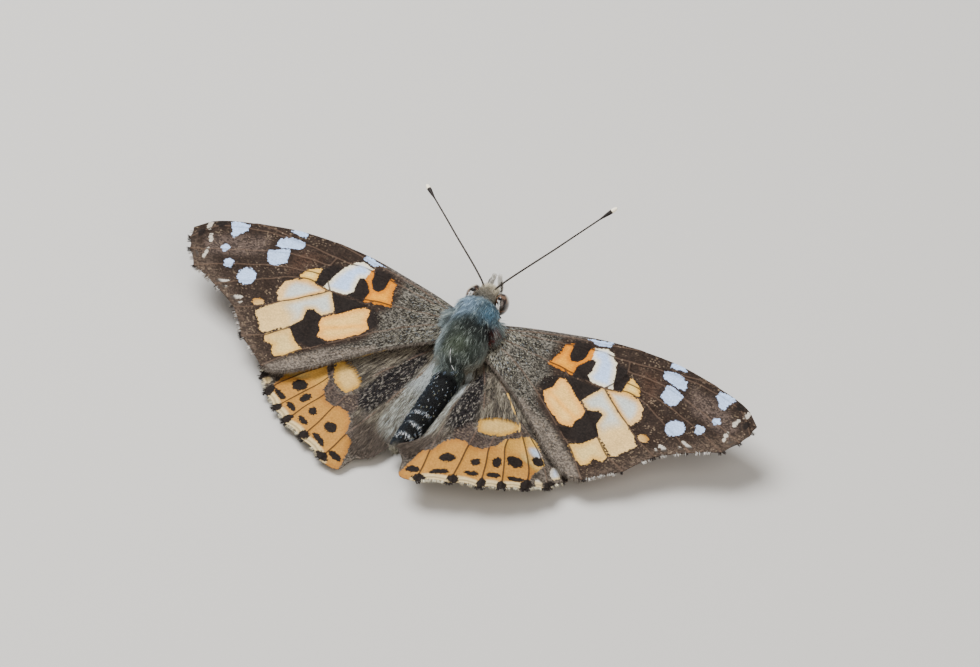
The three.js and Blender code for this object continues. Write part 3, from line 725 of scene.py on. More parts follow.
def wing_material(name, margin, under=None):
    """Wing scales: dusty pigmented chitin in rows of tiny shingles, so a soft matt surface.

    margin is the colour of the band inside the fringe, drawn where patches reach the edge.
    under holds an underside's own colours.
    """
    material, tree, shader = new_material(name, roughness=0.75, ior=1.45,
                                          specular_ior_level=0.12)
    spot = add(tree, "TexCoord").outputs["Object"]
    read = {key: add(tree, "Attribute", attribute_name=key).outputs
            for key in ("ground", "tint", "patch", "black", "speckle", "vein", "margin", "gold")}

    # 5.25 by 7.125 scales to the millimetre, so each about 0.19 mm by 0.14 mm
    flat = add(tree, "UVMap", uv_map="flat").outputs["UV"]
    rows = add(tree, "Mapping", {"Vector": flat, "Scale": (UNWRAP * 5.25, UNWRAP * 7.125, 1)})
    rows = rows.outputs[0]
    cells = add(tree, "TexVoronoi", {"Vector": rows, "Scale": 1.0, "Randomness": 0.8})
    each = add(tree, "SeparateColor", {"Color": cells.outputs["Color"]}).outputs
    # Streaks 0.16 mm wide and 2 mm long, fanned out from the wing root
    fan = add(tree, "UVMap", uv_map="fan").outputs["UV"]
    fanned = add(tree, "Mapping", {"Vector": fan, "Scale": (UNWRAP / 0.16, UNWRAP / 2, 1)})
    fanned = fanned.outputs[0]
    streak = add(tree, "TexNoise", {"Vector": fanned, "Scale": 1.0, "Detail": 2.0}).outputs["Fac"]
    broad = grain(tree, spot, 1.5, 4)
    clump = grain(tree, spot, 0.34, 2)

    def times(colour, value, low, high):
        """Multiplies a colour by a grey that runs from low to high with value."""
        grey = add(tree, "MapRange", {"Value": value, "To Min": low, "To Max": high}).outputs[0]
        made = add(tree, "CombineColor", {"Red": grey, "Green": grey, "Blue": grey}).outputs[0]
        return mixed(tree, 1.0, colour, made, "MULTIPLY")

    # Ground: evenly dark, or a salt and pepper of dark and pale scales
    plain = times(read["ground"]["Color"], each["Red"], 0.7, 1.35)
    worn = product(tree, ease(tree, each["Green"], 0.82, 0.95), ease(tree, broad, 0.35, 0.65),
                   0.45)
    plain = mixed(tree, worn, plain, linear("#9c8870"))
    mixture = maths(tree, "ADD", each["Red"], product(tree, clump, 1.3))
    light = ease(tree, mixture, 1.05, 1.3)
    peppered = mixed(tree, light, times(read["ground"]["Color"], each["Blue"], 0.15, 0.6),
                     times(read["ground"]["Color"], each["Blue"], 1.4, 3.2))
    ground = mixed(tree, read["speckle"]["Fac"], plain, peppered)
    ground = times(times(ground, streak, 0.7, 1.3), broad, 0.75, 1.25)
    if under:
        ground = mixed(tree, 0.7, ground, linear(under["ground"]))
        marbled = grain(tree, spot, 1.1, 3, Distortion=0.6)
        ground = mixed(tree, ease(tree, marbled, 0.52, 0.56), ground, linear(under["blotch"]))
    vein = product(tree, ease(tree, read["vein"]["Fac"], 0.09, 0.05), 0.4)
    ground = mixed(tree, vein, ground, linear(under["vein"] if under else "#6a5546"))

    # Patches, their edges ragged by whole scales
    teeth = product(tree, maths(tree, "SUBTRACT", each["Green"], 0.5), 0.17)
    ragged = product(tree, maths(tree, "SUBTRACT", grain(tree, spot, 0.5, 2), 0.5), 0.4)
    teeth = maths(tree, "ADD", teeth, ragged)
    tint = times(times(read["tint"]["Color"], streak, 0.82, 1.14), each["Red"], 0.9, 1.08)
    if under:
        tint = mixed(tree, under["share"], tint, linear(under["wash"]))
    band = ease(tree, read["margin"]["Fac"], 1.0, 0.6)
    tint = mixed(tree, band, tint, linear(margin))
    rim = product(tree, ease(tree, read["margin"]["Fac"], 0.16, 0.24),
                  ease(tree, read["margin"]["Fac"], 0.46, 0.36), 0.45)
    tint = mixed(tree, rim, tint, linear("#4a3828"))
    patch = ease(tree, maths(tree, "ADD", read["patch"]["Fac"], teeth), -0.03, 0.05)
    line = ease(tree, read["vein"]["Fac"], 0.105, 0.06)
    # Veins show less on white scales than on orange
    parts = add(tree, "SeparateColor", {"Color": read["tint"]["Color"]}).outputs
    warm = ease(tree, maths(tree, "SUBTRACT", parts["Red"], parts["Blue"]), -0.25, 0.0)
    strength = maths(tree, "ADD", product(tree, warm, 0.6), 0.25)
    tint = mixed(tree, product(tree, line, strength), tint, linear("#2c1f18"))
    colour = mixed(tree, patch, ground, tint)
    black = ease(tree, maths(tree, "ADD", read["black"]["Fac"], teeth), -0.06, 0.06)
    colour = mixed(tree, black, colour, times(linear("#1d1714"), each["Red"], 0.6, 1.5))
    if under and under["eyespots"]:
        inner = ease(tree, read["margin"]["Fac"], 1.5, 1.7)
        ring = product(tree, ease(tree, read["black"]["Fac"], -0.36, -0.28),
                       ease(tree, read["black"]["Fac"], -0.02, -0.1), inner)
        colour = mixed(tree, ring, colour, linear("#d8bd7c"))
        core = product(tree, ease(tree, read["black"]["Fac"], 0.28, 0.36), inner)
        colour = mixed(tree, core, colour, linear("#64788f"))
    gold = ease(tree, read["gold"]["Fac"], 0.12, 0.05)
    colour = mixed(tree, product(tree, gold, 0.85), colour, linear("#e0b45a"))

    # Painted shade: each scale's raised end shades the gap behind it, so the colour darkens there
    colour = times(colour, cells.outputs["Distance"], 1.1, 0.72)
    tree.links.new(colour, shader.inputs["Base Color"])
    relief(tree, shader, cells.outputs["Distance"], 0.5, 0.02, invert=True)
    return material


# Tufts: thin three-sided blades that lie along the coat, as joined meshes

TUFT_RINGS = [(0.0, 0.8), (0.4, 1.0), (0.75, 0.6)]     # (share of its length, of its width)
# Painted shade: each tuft is darker at its root, deep in the coat, and lighter at its tip
TUFT_SHADE = [0.55] * 3 + [0.9] * 3 + [1.1] * 3 + [1.2]     # dark at the root, light at the tip
TUFT_PATCH = 0.0028          # each tuft's place on the unwrap


class Coat:
    """Tufts gathered for one piece, each with its colour and its root's place on the unwrap."""

    def __init__(self, seed):
        self.draw = np.random.default_rng(seed)
        self.points, self.colours, self.maps = [], [], []

    def grow(self, roots, lie, normal, length, width, lift, droop, colour, unwrap):
        """roots, lie and normal are arrays; length and width in mm; lift and droop as slopes."""
        lie = unit(lie)
        side = unit(np.cross(lie, normal))
        start = unit(lie + normal * lift[:, None])
        end = unit(lie + normal * (lift - droop)[:, None])
        rings = []
        for t, girth in TUFT_RINGS:
            middle = roots + length[:, None] * (start * t + (end - start) * t * t / 2)
            for turn in (math.pi / 2, math.pi * 7 / 6, math.pi * 11 / 6):
                reach = side * math.cos(turn) + normal * math.sin(turn) * 0.6
                rings.append(middle + reach * (width * girth)[:, None])
        rings.append(roots + length[:, None] * (start + end) / 2)
        self.points.append(np.stack(rings, axis=1))
        self.colours.append(colour[:, None, :] * np.array(TUFT_SHADE)[None, :, None])
        spread = np.array([(0, 0), (1, 0), (0.5, 0.3)] * 3 + [(0.5, 1)]) - (0.5, 0.2)
        self.maps.append(unwrap[:, None, :] + spread[None] * TUFT_PATCH)

    def piece(self, name):
        """All the tufts as one object: ten points and sixteen triangles each."""
        points = np.concatenate(self.points)
        n = len(points)
        to_a_tuft = points.shape[1]
        faces = [(0, 2, 1)]
        for row in (0, 3):
            for j in range(3):
                a, b = row + j, row + (j + 1) % 3
                faces += [(a, b, b + 3), (a, b + 3, a + 3)]
        faces += [(6, 7, 9), (7, 8, 9), (8, 6, 9)]
        corners = (np.array(faces)[None] + (np.arange(n) * to_a_tuft)[:, None, None]).reshape(-1)
        mesh = bpy.data.meshes.new(name)
        mesh.vertices.add(n * to_a_tuft)
        mesh.vertices.foreach_set("co", place(points.reshape(-1, 3)).astype(np.float32).ravel())
        total = n * len(faces)
        mesh.loops.add(total * 3)
        mesh.loops.foreach_set("vertex_index", corners.astype(np.int32))
        mesh.polygons.add(total)
        mesh.polygons.foreach_set("loop_start", np.arange(0, total * 3, 3, dtype=np.int32))
        mesh.update(calc_edges=True)
        mesh.validate()
        obj = bpy.data.objects.new(name, mesh)
        bpy.context.scene.collection.objects.link(obj)
        store(obj, "tint", np.clip(np.concatenate(self.colours).reshape(-1, 3), 0, 1))
        uv = mesh.uv_layers.new(name="OFBake")
        places = np.concatenate(self.maps).reshape(-1, 2)
        uv.data.foreach_set("uv", places[corners].astype(np.float32).ravel())
        mesh.polygons.foreach_set("use_smooth", np.ones(total, bool))
        print("tufts", name, n, "triangles", total)
        return obj


def hair_material():
    """Hair and hair-like scales: thin dull chitin with a faint silky gloss."""
    material, tree, shader = new_material("insect_hair", roughness=0.6, ior=1.5,
                                          specular_ior_level=0.25)
    spot = add(tree, "TexCoord").outputs["Object"]
    tint = add(tree, "Attribute", attribute_name="tint").outputs["Color"]
    shade = ramp(tree, grain(tree, spot, 0.2, 2), [(0.3, 0.8), (0.7, 1.0)])
    tree.links.new(mixed(tree, 1.0, tint, shade, "MULTIPLY"), shader.inputs["Base Color"])
    return material


def jitter(draw, codes, weights, n, spread=0.25):
    """n colours drawn from a few hex codes, each a little lighter or darker."""
    picks = draw.choice(len(codes), n, p=np.array(weights) / sum(weights))
    colours = np.array([rgb(code) for code in codes])[picks]
    return colours * (1 + spread * draw.normal(size=(n, 1))).clip(0.4, 1.7)


def lock(places, size, seed=0):
    """The same random number from 0 to 1 for all places in one small box."""
    cell = np.floor(places / size).astype(np.int64)
    mixed_up = seed * 97
    for i in range(cell.shape[1]):
        mixed_up = (mixed_up * 31 + cell[:, i]) * 2654435761 % 4294967296
        mixed_up = (mixed_up ^ (mixed_up >> 15)) * 2246822519 % 4294967296
    return (mixed_up % 10007) / 10007


def on_wing(flat, heading, put, side, height):
    """Places on the wing, the direction on it of each flat heading, and its normal."""
    gap = 0.01
    here = put(flat, height, side)
    ahead = put(flat + (gap, 0), height, side) - here
    across = put(flat + (0, gap), height, side) - here
    lie = (ahead * heading[:, :1] + across * heading[:, 1:]) / gap
    return here, lie, unit(np.cross(ahead, across)) * side


def either(chosen, first, second):
    """Rows of first where chosen, else of second."""
    return np.where(chosen[:, None], first, second)


def strewn(draw, outline, n):
    """n random points inside an outline."""
    outline = np.array(outline, float)
    low, high = outline.min(0), outline.max(0)
    points = np.zeros((0, 2))
    while len(points) < n:
        more = low + draw.random((n, 2)) * (high - low)
        points = np.vstack([points, more[within(more, outline)]])
    return points[:n]


def edge_places(line, where):
    """Places at distances along an edge, and the direction out from it at each."""
    span = span_of(line)
    step_on = 0.05
    along = resample(line, span, where + step_on) - resample(line, span, where - step_on)
    return resample(line, span, where), unit(np.column_stack([-along[:, 1], along[:, 0]]))


def hem(coat, side, outline):
    """Short hair along the forewing's rear edge, which droops onto the hindwing."""
    draw = coat.draw
    n, length = 1500, 20
    flat, out = edge_places(margins(forewing, outline)[1], draw.random(n) * length)
    out = unit(out + (0.5, -0.3) + 0.25 * draw.normal(size=out.shape))
    here, lie, normal = on_wing(flat, out, forewing_place, side, 0.1 * draw.random(n) - 0.05)
    colour = jitter(draw, ["#4a423b", "#6d645b", "#8c8479"], [3, 4, 2], n, 0.15)
    coat.grow(here - unit(lie) * 0.2, lie, normal, 0.4 + 0.45 * draw.random(n),
              0.02 + 0.01 * draw.random(n), 0.1 * draw.normal(size=n), np.full(n, 0.7),
              colour, flat / UNWRAP + (0.02, 0.6))


def fringe(coat, wing, put, side, outline):
    """The margin's scale fringe: pale between the veins, dark at each vein's end."""
    draw = coat.draw
    ends = np.array(wing["vein_ends"], float)
    line, _ = margins(wing, outline)
    length = span_of(line)[-1]
    to_a_mm = 60
    where = np.sort(draw.random(int(length * to_a_mm))) * length
    # A worn edge: here and there the fringe is gone
    where = where[lock(where[:, None], 0.4, side + 2) < wing["fringe_kept"]]
    flat, out = edge_places(line, where)
    near = np.min(np.linalg.norm(flat[:, None] - ends[None], axis=2), axis=1)
    n = len(flat)
    dark = (near + 0.1 * draw.normal(size=n)) < wing["dark_fringe"]
    here, lie, normal = on_wing(flat, out, put, side, 0.1 * draw.random(n) - 0.05)
    lie = lie + 0.12 * draw.normal(size=here.shape)
    colour = jitter(draw, wing["fringe"], [4, 4, 2], n, 0.15)
    colour[dark] = jitter(draw, ["#1f1916", "#332924"], [3, 2], int(dark.sum()), 0.2)
    coat.grow(here - unit(lie) * 0.12, lie, normal, 0.35 + 0.25 * draw.random(n),
              0.024 + 0.014 * draw.random(n), 0.05 * draw.normal(size=n), np.full(n, 0.1),
              colour, flat / UNWRAP + (0.02, 0.6))


def forewing_hair(coat, side, outline):
    """Short, flat, peppered hair over the forewing's root, thinning outwards."""
    draw = coat.draw
    flat = strewn(draw, [(1.6, 1), (4.5, 1.6), (9, 2.6), (10, 1.4), (9.3, -1.3), (10.6, -3),
                         (9.6, -5), (10.6, -7.2), (14.5, -10.9), (14.4, -12.4), (8, -7),
                         (4.5, -4.6), (1.6, -3)], 13500)
    keep = draw.random(len(flat)) < 1.05 - 0.95 * step(2.5, 9.5, flat[:, 0])
    flat = flat[keep & (depth(flat, outline) > 0.1)]
    n = len(flat)
    outward = unit(flat - (1, 1.5)) + 0.2 * draw.normal(size=(n, 2))
    here, lie, normal = on_wing(flat, outward, forewing_place, side, np.full(n, 0.05))
    dark = jitter(draw, ["#201d1a", "#332f2a", "#474138"], [3, 3, 3], n)
    pale = jitter(draw, ["#7d7a6e", "#989486", "#bfbaa6", "#87919a"], [4, 4, 3, 2], n)
    # More pale hair beside the veins than between them
    beside = np.exp(-(near_lines(flat, forewing["veins"]) / 0.3) ** 2)
    choice = 0.7 * lock(flat, 0.1, 3) + 0.3 * draw.random(n) + 0.12 * beside
    colour = either(choice > 0.54, pale, dark)
    # Browner along the front edge, by the patches and on the rear strip
    brown = step(-2, -5, flat[:, 1] + 0.3 * flat[:, 0]) * step(3, 7, flat[:, 0])
    brown = np.maximum(brown, step(-0.5, 1.2, flat[:, 1] - 0.2 * flat[:, 0]) * 0.8)
    brown = np.maximum(brown, step(5.5, 9.5, flat[:, 0]) * 0.8)
    colour = blend(colour, rgb("#4c433a"), 0.65 * brown[:, None])
    near = step(7, 2, flat[:, 0])
    coat.grow(here, lie, normal, (0.15 + 0.13 * draw.random(n)) * (1 + 1.2 * near),
              0.024 + 0.012 * draw.random(n), 0.05 + 0.12 * draw.random(n) * (1 + near),
              np.full(n, 0.1), colour, flat / UNWRAP + (0.02, 0.6))
    hem(coat, side, outline)


def hindwing_hair(coat, side, outline):
    """Long fine hair that streams back over the hindwing's inner half, in pale and dark locks."""
    draw = coat.draw
    flat = strewn(draw, [(-1.5, -2), (2, -2), (6, -5), (8.2, -7.4), (7, -8.8), (5, -9.4),
                         (3.6, -10.8), (2, -13.6), (0.6, -16.4), (-1.2, -19), (-3.4, -17.8),
                         (-4, -14), (-3, -8)], 11600)
    flat = flat[depth(flat, outline) > 0.05]
    flat = flat[~in_body(hindwing_place(flat, 0 * flat[:, 0], side), 0.1)]
    n = len(flat)
    away = flat - (0.5, 5)
    outward = unit(away) + 0.08 * draw.normal(size=(n, 2))
    here, lie, normal = on_wing(flat, outward, hindwing_place, side, np.full(n, 0.06))
    # Locks run along the hair: one random shade for each fine angle from the root
    angle = np.arctan2(away[:, 1], away[:, 0])
    lane = np.column_stack([angle * 14, np.hypot(*away.T) * 0.14 + 0.2 * draw.random(n)])
    shade = 0.75 * lock(lane, 0.15, 5 + side) + 0.25 * draw.random(n)
    pale = jitter(draw, ["#787164", "#8e8676", "#a89f8a"], [5, 4, 2], n, 0.12)
    dark = jitter(draw, ["#332e2a", "#4b453e", "#625a4f"], [2, 3, 3], n, 0.15)
    colour = either(shade > 0.52, pale, dark)
    groove = step(-0.35, 0.35, depth(flat, GROOVE))[:, None]
    speck = jitter(draw, ["#141213", "#28242a", "#9a948a"], [5, 2, 0.01], n, 0.2)
    light = jitter(draw, ["#9a948a", "#78716a"], [2, 1], n, 0.2)
    colour = blend(colour, either(lock(flat, 0.16, 8) > 0.72, light, speck), groove)
    share = step(-0.3, 0.3, depth(flat, FOLD))[:, None]
    silver = jitter(draw, ["#98998f", "#b6b8ae", "#c4ccca"], [4, 3, 2], n, 0.12)
    grey = jitter(draw, ["#5f5a52", "#7a746a"], [2, 3], n, 0.15)
    colour = blend(colour, either(lock(lane, 0.1, 9) > 0.4, silver, grey), share)
    # Silver hair by the waist, made paler than its own colour as painted light against the chest's
    # shadow
    waist = share * step(-9, -6, flat[:, 1])[:, None]
    colour = blend(colour, rgb("#c9d2d4"), 0.7 * waist)
    rear = step(-13.5, -15.5, flat[:, 1])[:, None] * step(2.4, 1, flat[:, 0])[:, None]
    brown = jitter(draw, ["#544a42", "#3b332d", "#6b6055"], [3, 2, 2], n, 0.15)
    colour = blend(colour, brown, rear)
    length = (0.5 + 0.7 * draw.random(n)) * (1 - 0.6 * groove[:, 0])
    coat.grow(here, lie, normal, length, 0.018 + 0.011 * draw.random(n),
              0.05 + 0.1 * draw.random(n), np.full(n, 0.12), colour, flat / UNWRAP + (0.12, 0.6))


# The body

THORAX = {"centre": (0, -2.3, ROOT_HEIGHT - 0.35), "size": (2.4, 4.0, 2.25), "pitch": 20}
HEAD = {"centre": (0, 2.5, ROOT_HEIGHT + 1.5), "size": (1.35, 1.2, 1.25)}
EYE = {"centre": (1.6, EYE_Y, ROOT_HEIGHT + 1.25), "size": (0.88, 1.18, 1.27)}
ABDOMEN = {"front": -5.4, "tip": -18.8, "height": ROOT_HEIGHT - 2.85, "radius": 1.45,
           "rings": 8, "groove": 0.06, "front_rise": 0.75, "tail_drop": 0.75,
           "tail_turn": -0.85}
PALE_RINGS = [(-13.7, -1), (-15.4, 1), (-17.0, -1)]     # (place along it, side that shows)


def abdomen_girth(t):
    """Radius over the abdomen's length; t runs from 0 at the tail to 1 at the waist."""
    return ABDOMEN["radius"] * np.sin(math.pi * (0.12 + 0.62 * np.clip(t, 0, 1))) ** 0.6


def abdomen_centre(t):
    """The axis of the abdomen, which rises to the waist and turns aside at the tail."""
    back = 1 - np.clip(t, 0, 1)
    return np.stack([
        ABDOMEN["tail_turn"] * back ** 3,
        ABDOMEN["tip"] + t * (ABDOMEN["front"] - ABDOMEN["tip"]),
        ABDOMEN["height"] + ABDOMEN["front_rise"] * (1 - back) ** 4
        - ABDOMEN["tail_drop"] * back ** 3], axis=-1)


def in_body(points, grow):
    """True where a place is inside the abdomen or chest, made larger by grow."""
    t = (points[:, 1] - ABDOMEN["tip"]) / (ABDOMEN["front"] - ABDOMEN["tip"])
    off = points - abdomen_centre(t)
    belly = (np.hypot(off[:, 0], off[:, 2]) < abdomen_girth(t) + grow) & (t > 0) & (t < 1.1)
    off = points - THORAX["centre"]
    level = np.column_stack([off[:, 0], *turned(off[:, 1], off[:, 2], -THORAX["pitch"])])
    return belly | (np.linalg.norm(level / (np.array(THORAX["size"]) + grow), axis=1) < 1)


def ball(name, centre, size, pitch=0.0, segments=48, rings=32, blunt=False):
    """A sphere stretched and laid in place, its poles front and back; blunt fills out its ends."""
    bpy.ops.object.select_all(action="DESELECT")
    bpy.ops.mesh.primitive_uv_sphere_add(segments=segments, ring_count=rings, radius=1)
    obj = added(name)
    points = coords(obj)[:, [0, 2, 1]] * (1, 1, -1)
    if blunt:
        along = np.abs(points[:, 1]).clip(0, 1)
        fuller = (1 - along ** 2.5) ** (1 / 2.2) / np.sqrt(1 - along ** 2).clip(1e-4)
        points[:, [0, 2]] *= fuller[:, None]
    points = points * size
    points = np.column_stack([points[:, 0], *turned(points[:, 1], points[:, 2], pitch)])
    set_coords(obj, place(points + centre))
    return obj


def abdomen_form():
    """A bent, tapering barrel with a shallow groove between each two rings."""
    obj = ball("abdomen_form", (0, 0, 0), (1, 1, 1), segments=64, rings=120)
    points = in_mm(obj)
    t = (points[:, 1] + 1) / 2
    girth = abdomen_girth(t)
    from_groove = np.abs((t * ABDOMEN["rings"]) % 1 - 0.5) - 0.5
    girth -= ABDOMEN["groove"] * np.exp(-(from_groove / 0.1) ** 2)
    # The tail end closes round
    girth *= np.minimum(1, np.sqrt(np.maximum(0, 1 - (1 - t / 0.06).clip(0) ** 2)))
    around = np.hypot(points[:, 0], points[:, 2])
    scale = girth.clip(0.02) / np.maximum(around, 1e-4)
    centre = abdomen_centre(t)
    set_coords(obj, place(np.column_stack([
        centre[:, 0] + points[:, 0] * scale, centre[:, 1], centre[:, 2] + points[:, 2] * scale])))
    return obj


def body_colour(p):
    """The marking of skin and coat alike, by place on the body in millimetres, with a painted
    blue-white highlight on the chest's front left and painted shade on its upper right.
    """
    x, y, z = p[:, 0], p[:, 1], p[:, 2] - ROOT_HEIGHT
    colour = np.tile(rgb("#4d5651"), (len(p), 1))

    def lay(code, share):
        """One colour over the last ones."""
        colour[:] = blend(colour, rgb(code), np.clip(share, 0, 1)[:, None])

    def blob(cx, cy, rx, ry):
        """1 at a centre, fading out over two radii."""
        return np.exp(-(((x - cx) / rx) ** 2) - ((y - cy) / ry) ** 2)

    lay("#262a28", blob(0.6, -2.0, 1.1, 1.6) * 0.9)
    lay("#66725f", blob(-0.1, -4.4, 1.2, 1.1) * 0.9)
    lay("#748890", step(-1.2, 0.6, y + 0.5 * np.abs(x)) * step(2.9, 1.9, y))
    # Painted highlight: pale sky blue on the chest's front left, where the light falls, over the
    # blue-grey collar
    lay("#a6c3dd", blob(-1.3, 0.5, 1.2, 1.3))
    lay("#6289a2", blob(1.3, 0.4, 0.9, 1.1) * 0.9)
    lay("#93a1a4", step(-1.4, -2.3, x) * step(-6.3, -4, y) * step(2, 0, y))
    lay("#868f8a", step(1.7, 2.5, x) * step(-5.5, -3.5, y) * step(2, 0.6, y) * 0.8)
    # Painted shade: near black on the chest's upper right, the side away from the light
    lay("#0f0c0c", blob(1.9, -1.1, 0.75, 1.0) * 1.2 * (z > 0))
    lay("#4a1512", blob(2.3, -0.75, 0.3, 0.42) * 1.6 * (z > 0))
    lay("#16161a", blob(-2.1, -0.9, 0.28, 0.35) * 1.5 * (z > 0))
    lay("#8a867a", step(0.2, -1.6, z) * step(-7, -5, y) * step(3, 1.5, y))
    lay("#434b48", step(-4.9, -5.8, y) * step(-7.4, -6.2, y))
    lay("#93a09e", step(-0.5, -1.4, x) * step(-4.6, -6, y) * step(-8.6, -7, y))
    lay("#0e1012", step(-6.6, -7.4, y))
    lay("#19222c", step(-6.6, -9, y) * step(-0.3, -1.2, x) * 0.8)
    for at, side in PALE_RINGS:
        lay("#8b949e", np.exp(-(((y - at) / 0.11) ** 2)) * step(-0.9, 0.1, side * x + 0.5))
    lay("#8a8474", step(-3.9, -4.6, z) * step(-6.4, -7.4, y))
    lay("#b0a48a", step(-4.4, -5.2, z) * step(-6.4, -7.4, y))
    lay("#a09a88", step(-18.1, -18.9, y))
    lay("#9d978a", step(1.5, 2.1, y) * step(-0.6, 0.4, z))
    lay("#c6bca4", step(2.3, 3.1, y))
    return colour


def body_skin():
    """Head, chest and abdomen fused into one skin, inside the coat's depth."""
    parts = [
        ball("thorax_form", THORAX["centre"], THORAX["size"], THORAX["pitch"], blunt=True),
        ball("collar_form", (-0.15, 0.75, ROOT_HEIGHT + 1.15), (2.15, 1.65, 1.4), 25, 32, 20),
        ball("head_form", HEAD["centre"], HEAD["size"]),
        ball("waist_form", (0, -5.7, ROOT_HEIGHT - 1.95), (1.4, 1.6, 1.4), 10, 32, 20),
        abdomen_form(),
    ]
    for side in (-1, 1):
        parts.append(ball("shoulder_form", (side * 2.2, -0.5, ROOT_HEIGHT + 0.3),
                          (0.75, 1.3, 0.65), 10, 24, 16))
    obj = joined("body_skin", parts)
    fuse = obj.modifiers.new("fuse", "REMESH")
    fuse.mode = "VOXEL"
    fuse.voxel_size = 0.11 * MM
    soften = obj.modifiers.new("soften", "SMOOTH")
    soften.iterations = 6
    soften.factor = 0.5
    finish_modifiers(obj)
    bpy.ops.object.shade_smooth()
    store(obj, "tint", body_colour(in_mm(obj)))
    return obj


def skin_material():
    """Cuticle under the coat: dark, dull, finely wrinkled chitin in the coat's own colours."""
    material, tree, shader = new_material("body_cuticle", roughness=0.8, ior=1.5,
                                          specular_ior_level=0.2)
    spot = add(tree, "TexCoord").outputs["Object"]
    tint = add(tree, "Attribute", attribute_name="tint").outputs["Color"]
    mottle = ramp(tree, grain(tree, spot, 0.25, 3), [(0.25, 0.2), (0.75, 0.6)])
    tree.links.new(mixed(tree, 1.0, tint, mottle, "MULTIPLY"), shader.inputs["Base Color"])
    relief(tree, shader, grain(tree, spot, 0.12, 3), 0.6, 0.04)
    return material


def skin_samples(obj, draw, n):
    """n random points on the skin, with the normal at each."""
    mesh = obj.data
    mesh.calc_loop_triangles()
    corners = in_mm(obj)[values_of(mesh.loop_triangles, "vertices", 3)]
    across = np.cross(corners[:, 1] - corners[:, 0], corners[:, 2] - corners[:, 0])
    area = np.linalg.norm(across, axis=1)
    pick = draw.choice(len(area), n, p=area / area.sum())
    u, v = draw.random(n), draw.random(n)
    flip = u + v > 1
    u[flip], v[flip] = 1 - u[flip], 1 - v[flip]
    a, b, c = corners[pick, 0], corners[pick, 1], corners[pick, 2]
    return a + (b - a) * u[:, None] + (c - a) * v[:, None], unit(across[pick])


def body_unwrap(points):
    """A body point's place on the unwrap: round the body across, along it up."""
    axis_height, rear, length, border = ROOT_HEIGHT - 1.5, -20, 26, 0.02
    turn = np.arctan2(points[:, 0], points[:, 2] - axis_height) / (2 * math.pi) + 0.5
    along = (points[:, 1] - rear) / length
    return border + (1 - 2 * border) * np.column_stack([turn, along])


def eye_nearness(points):
    """How far each place is from the nearer eye, as a multiple of the eye's size."""
    off = np.column_stack([np.abs(points[:, 0]), points[:, 1:]]) - EYE["centre"]
    return np.linalg.norm(off / np.array(EYE["size"]), axis=1)


def in_pale_ring(p):
    """True on the abdomen's pale rings."""
    ring = np.zeros(len(p), bool)
    for at, side in PALE_RINGS:
        ring |= (np.abs(p[:, 1] - at) < 0.15) & (side * p[:, 0] > -0.6)
    return ring


# Each of these gives its tufts' way over the skin, length, lift, droop and width

def chest_tufts(p, r):
    """Long silky hair, combed back and to both sides."""
    outer = step(1.3, 2.3, np.abs(p[:, 0]))
    way = np.tile((0.0, -1.0, -0.2), (len(p), 1))
    way[:, 0] += (0.25 + 0.9 * outer) * p[:, 0] / 2.5
    length = (0.7 + 0.6 * r.random(len(p))) * (1 + 0.5 * outer)
    length *= 1 + 0.6 * step(-3.2, -5.5, p[:, 1]) * step(0.3, -1, p[:, 0])
    length *= 1 - 0.3 * step(0, 1.6, p[:, 1])
    return way, length, 0.3 + 0.35 * r.random(len(p)), 0.55, 0.025


def abdomen_tufts(p, r):
    """Close scales and hair, longer at the waist, the tail and the pale rings."""
    way = np.tile((0.0, -1.0, 0.0), (len(p), 1))
    length = 0.26 + 0.2 * r.random(len(p))
    length *= 1 + 1.8 * step(-8.6, -6.6, p[:, 1]) + 1.6 * step(-18, -18.9, p[:, 1])
    length[in_pale_ring(p)] *= 1.6
    return way, length, 0.14 + 0.2 * r.random(len(p)), 0.2, 0.026


def head_tufts(p, r):
    """Short hair that stands up, and leans forwards over the face."""
    front = step(2.4, 3.4, p[:, 1])
    way = np.tile((0.0, -0.2, 0.5), (len(p), 1))
    way[:, 1] += 1.1 * front
    length = 0.4 + 0.3 * r.random(len(p)) + 0.35 * front
    return way, length, 0.8 + 0.6 * r.random(len(p)), 0.3, 0.021


WAIST_Y, NECK_Y = -6.4, 1.9  # where the chest's coat meets the abdomen's and the head's


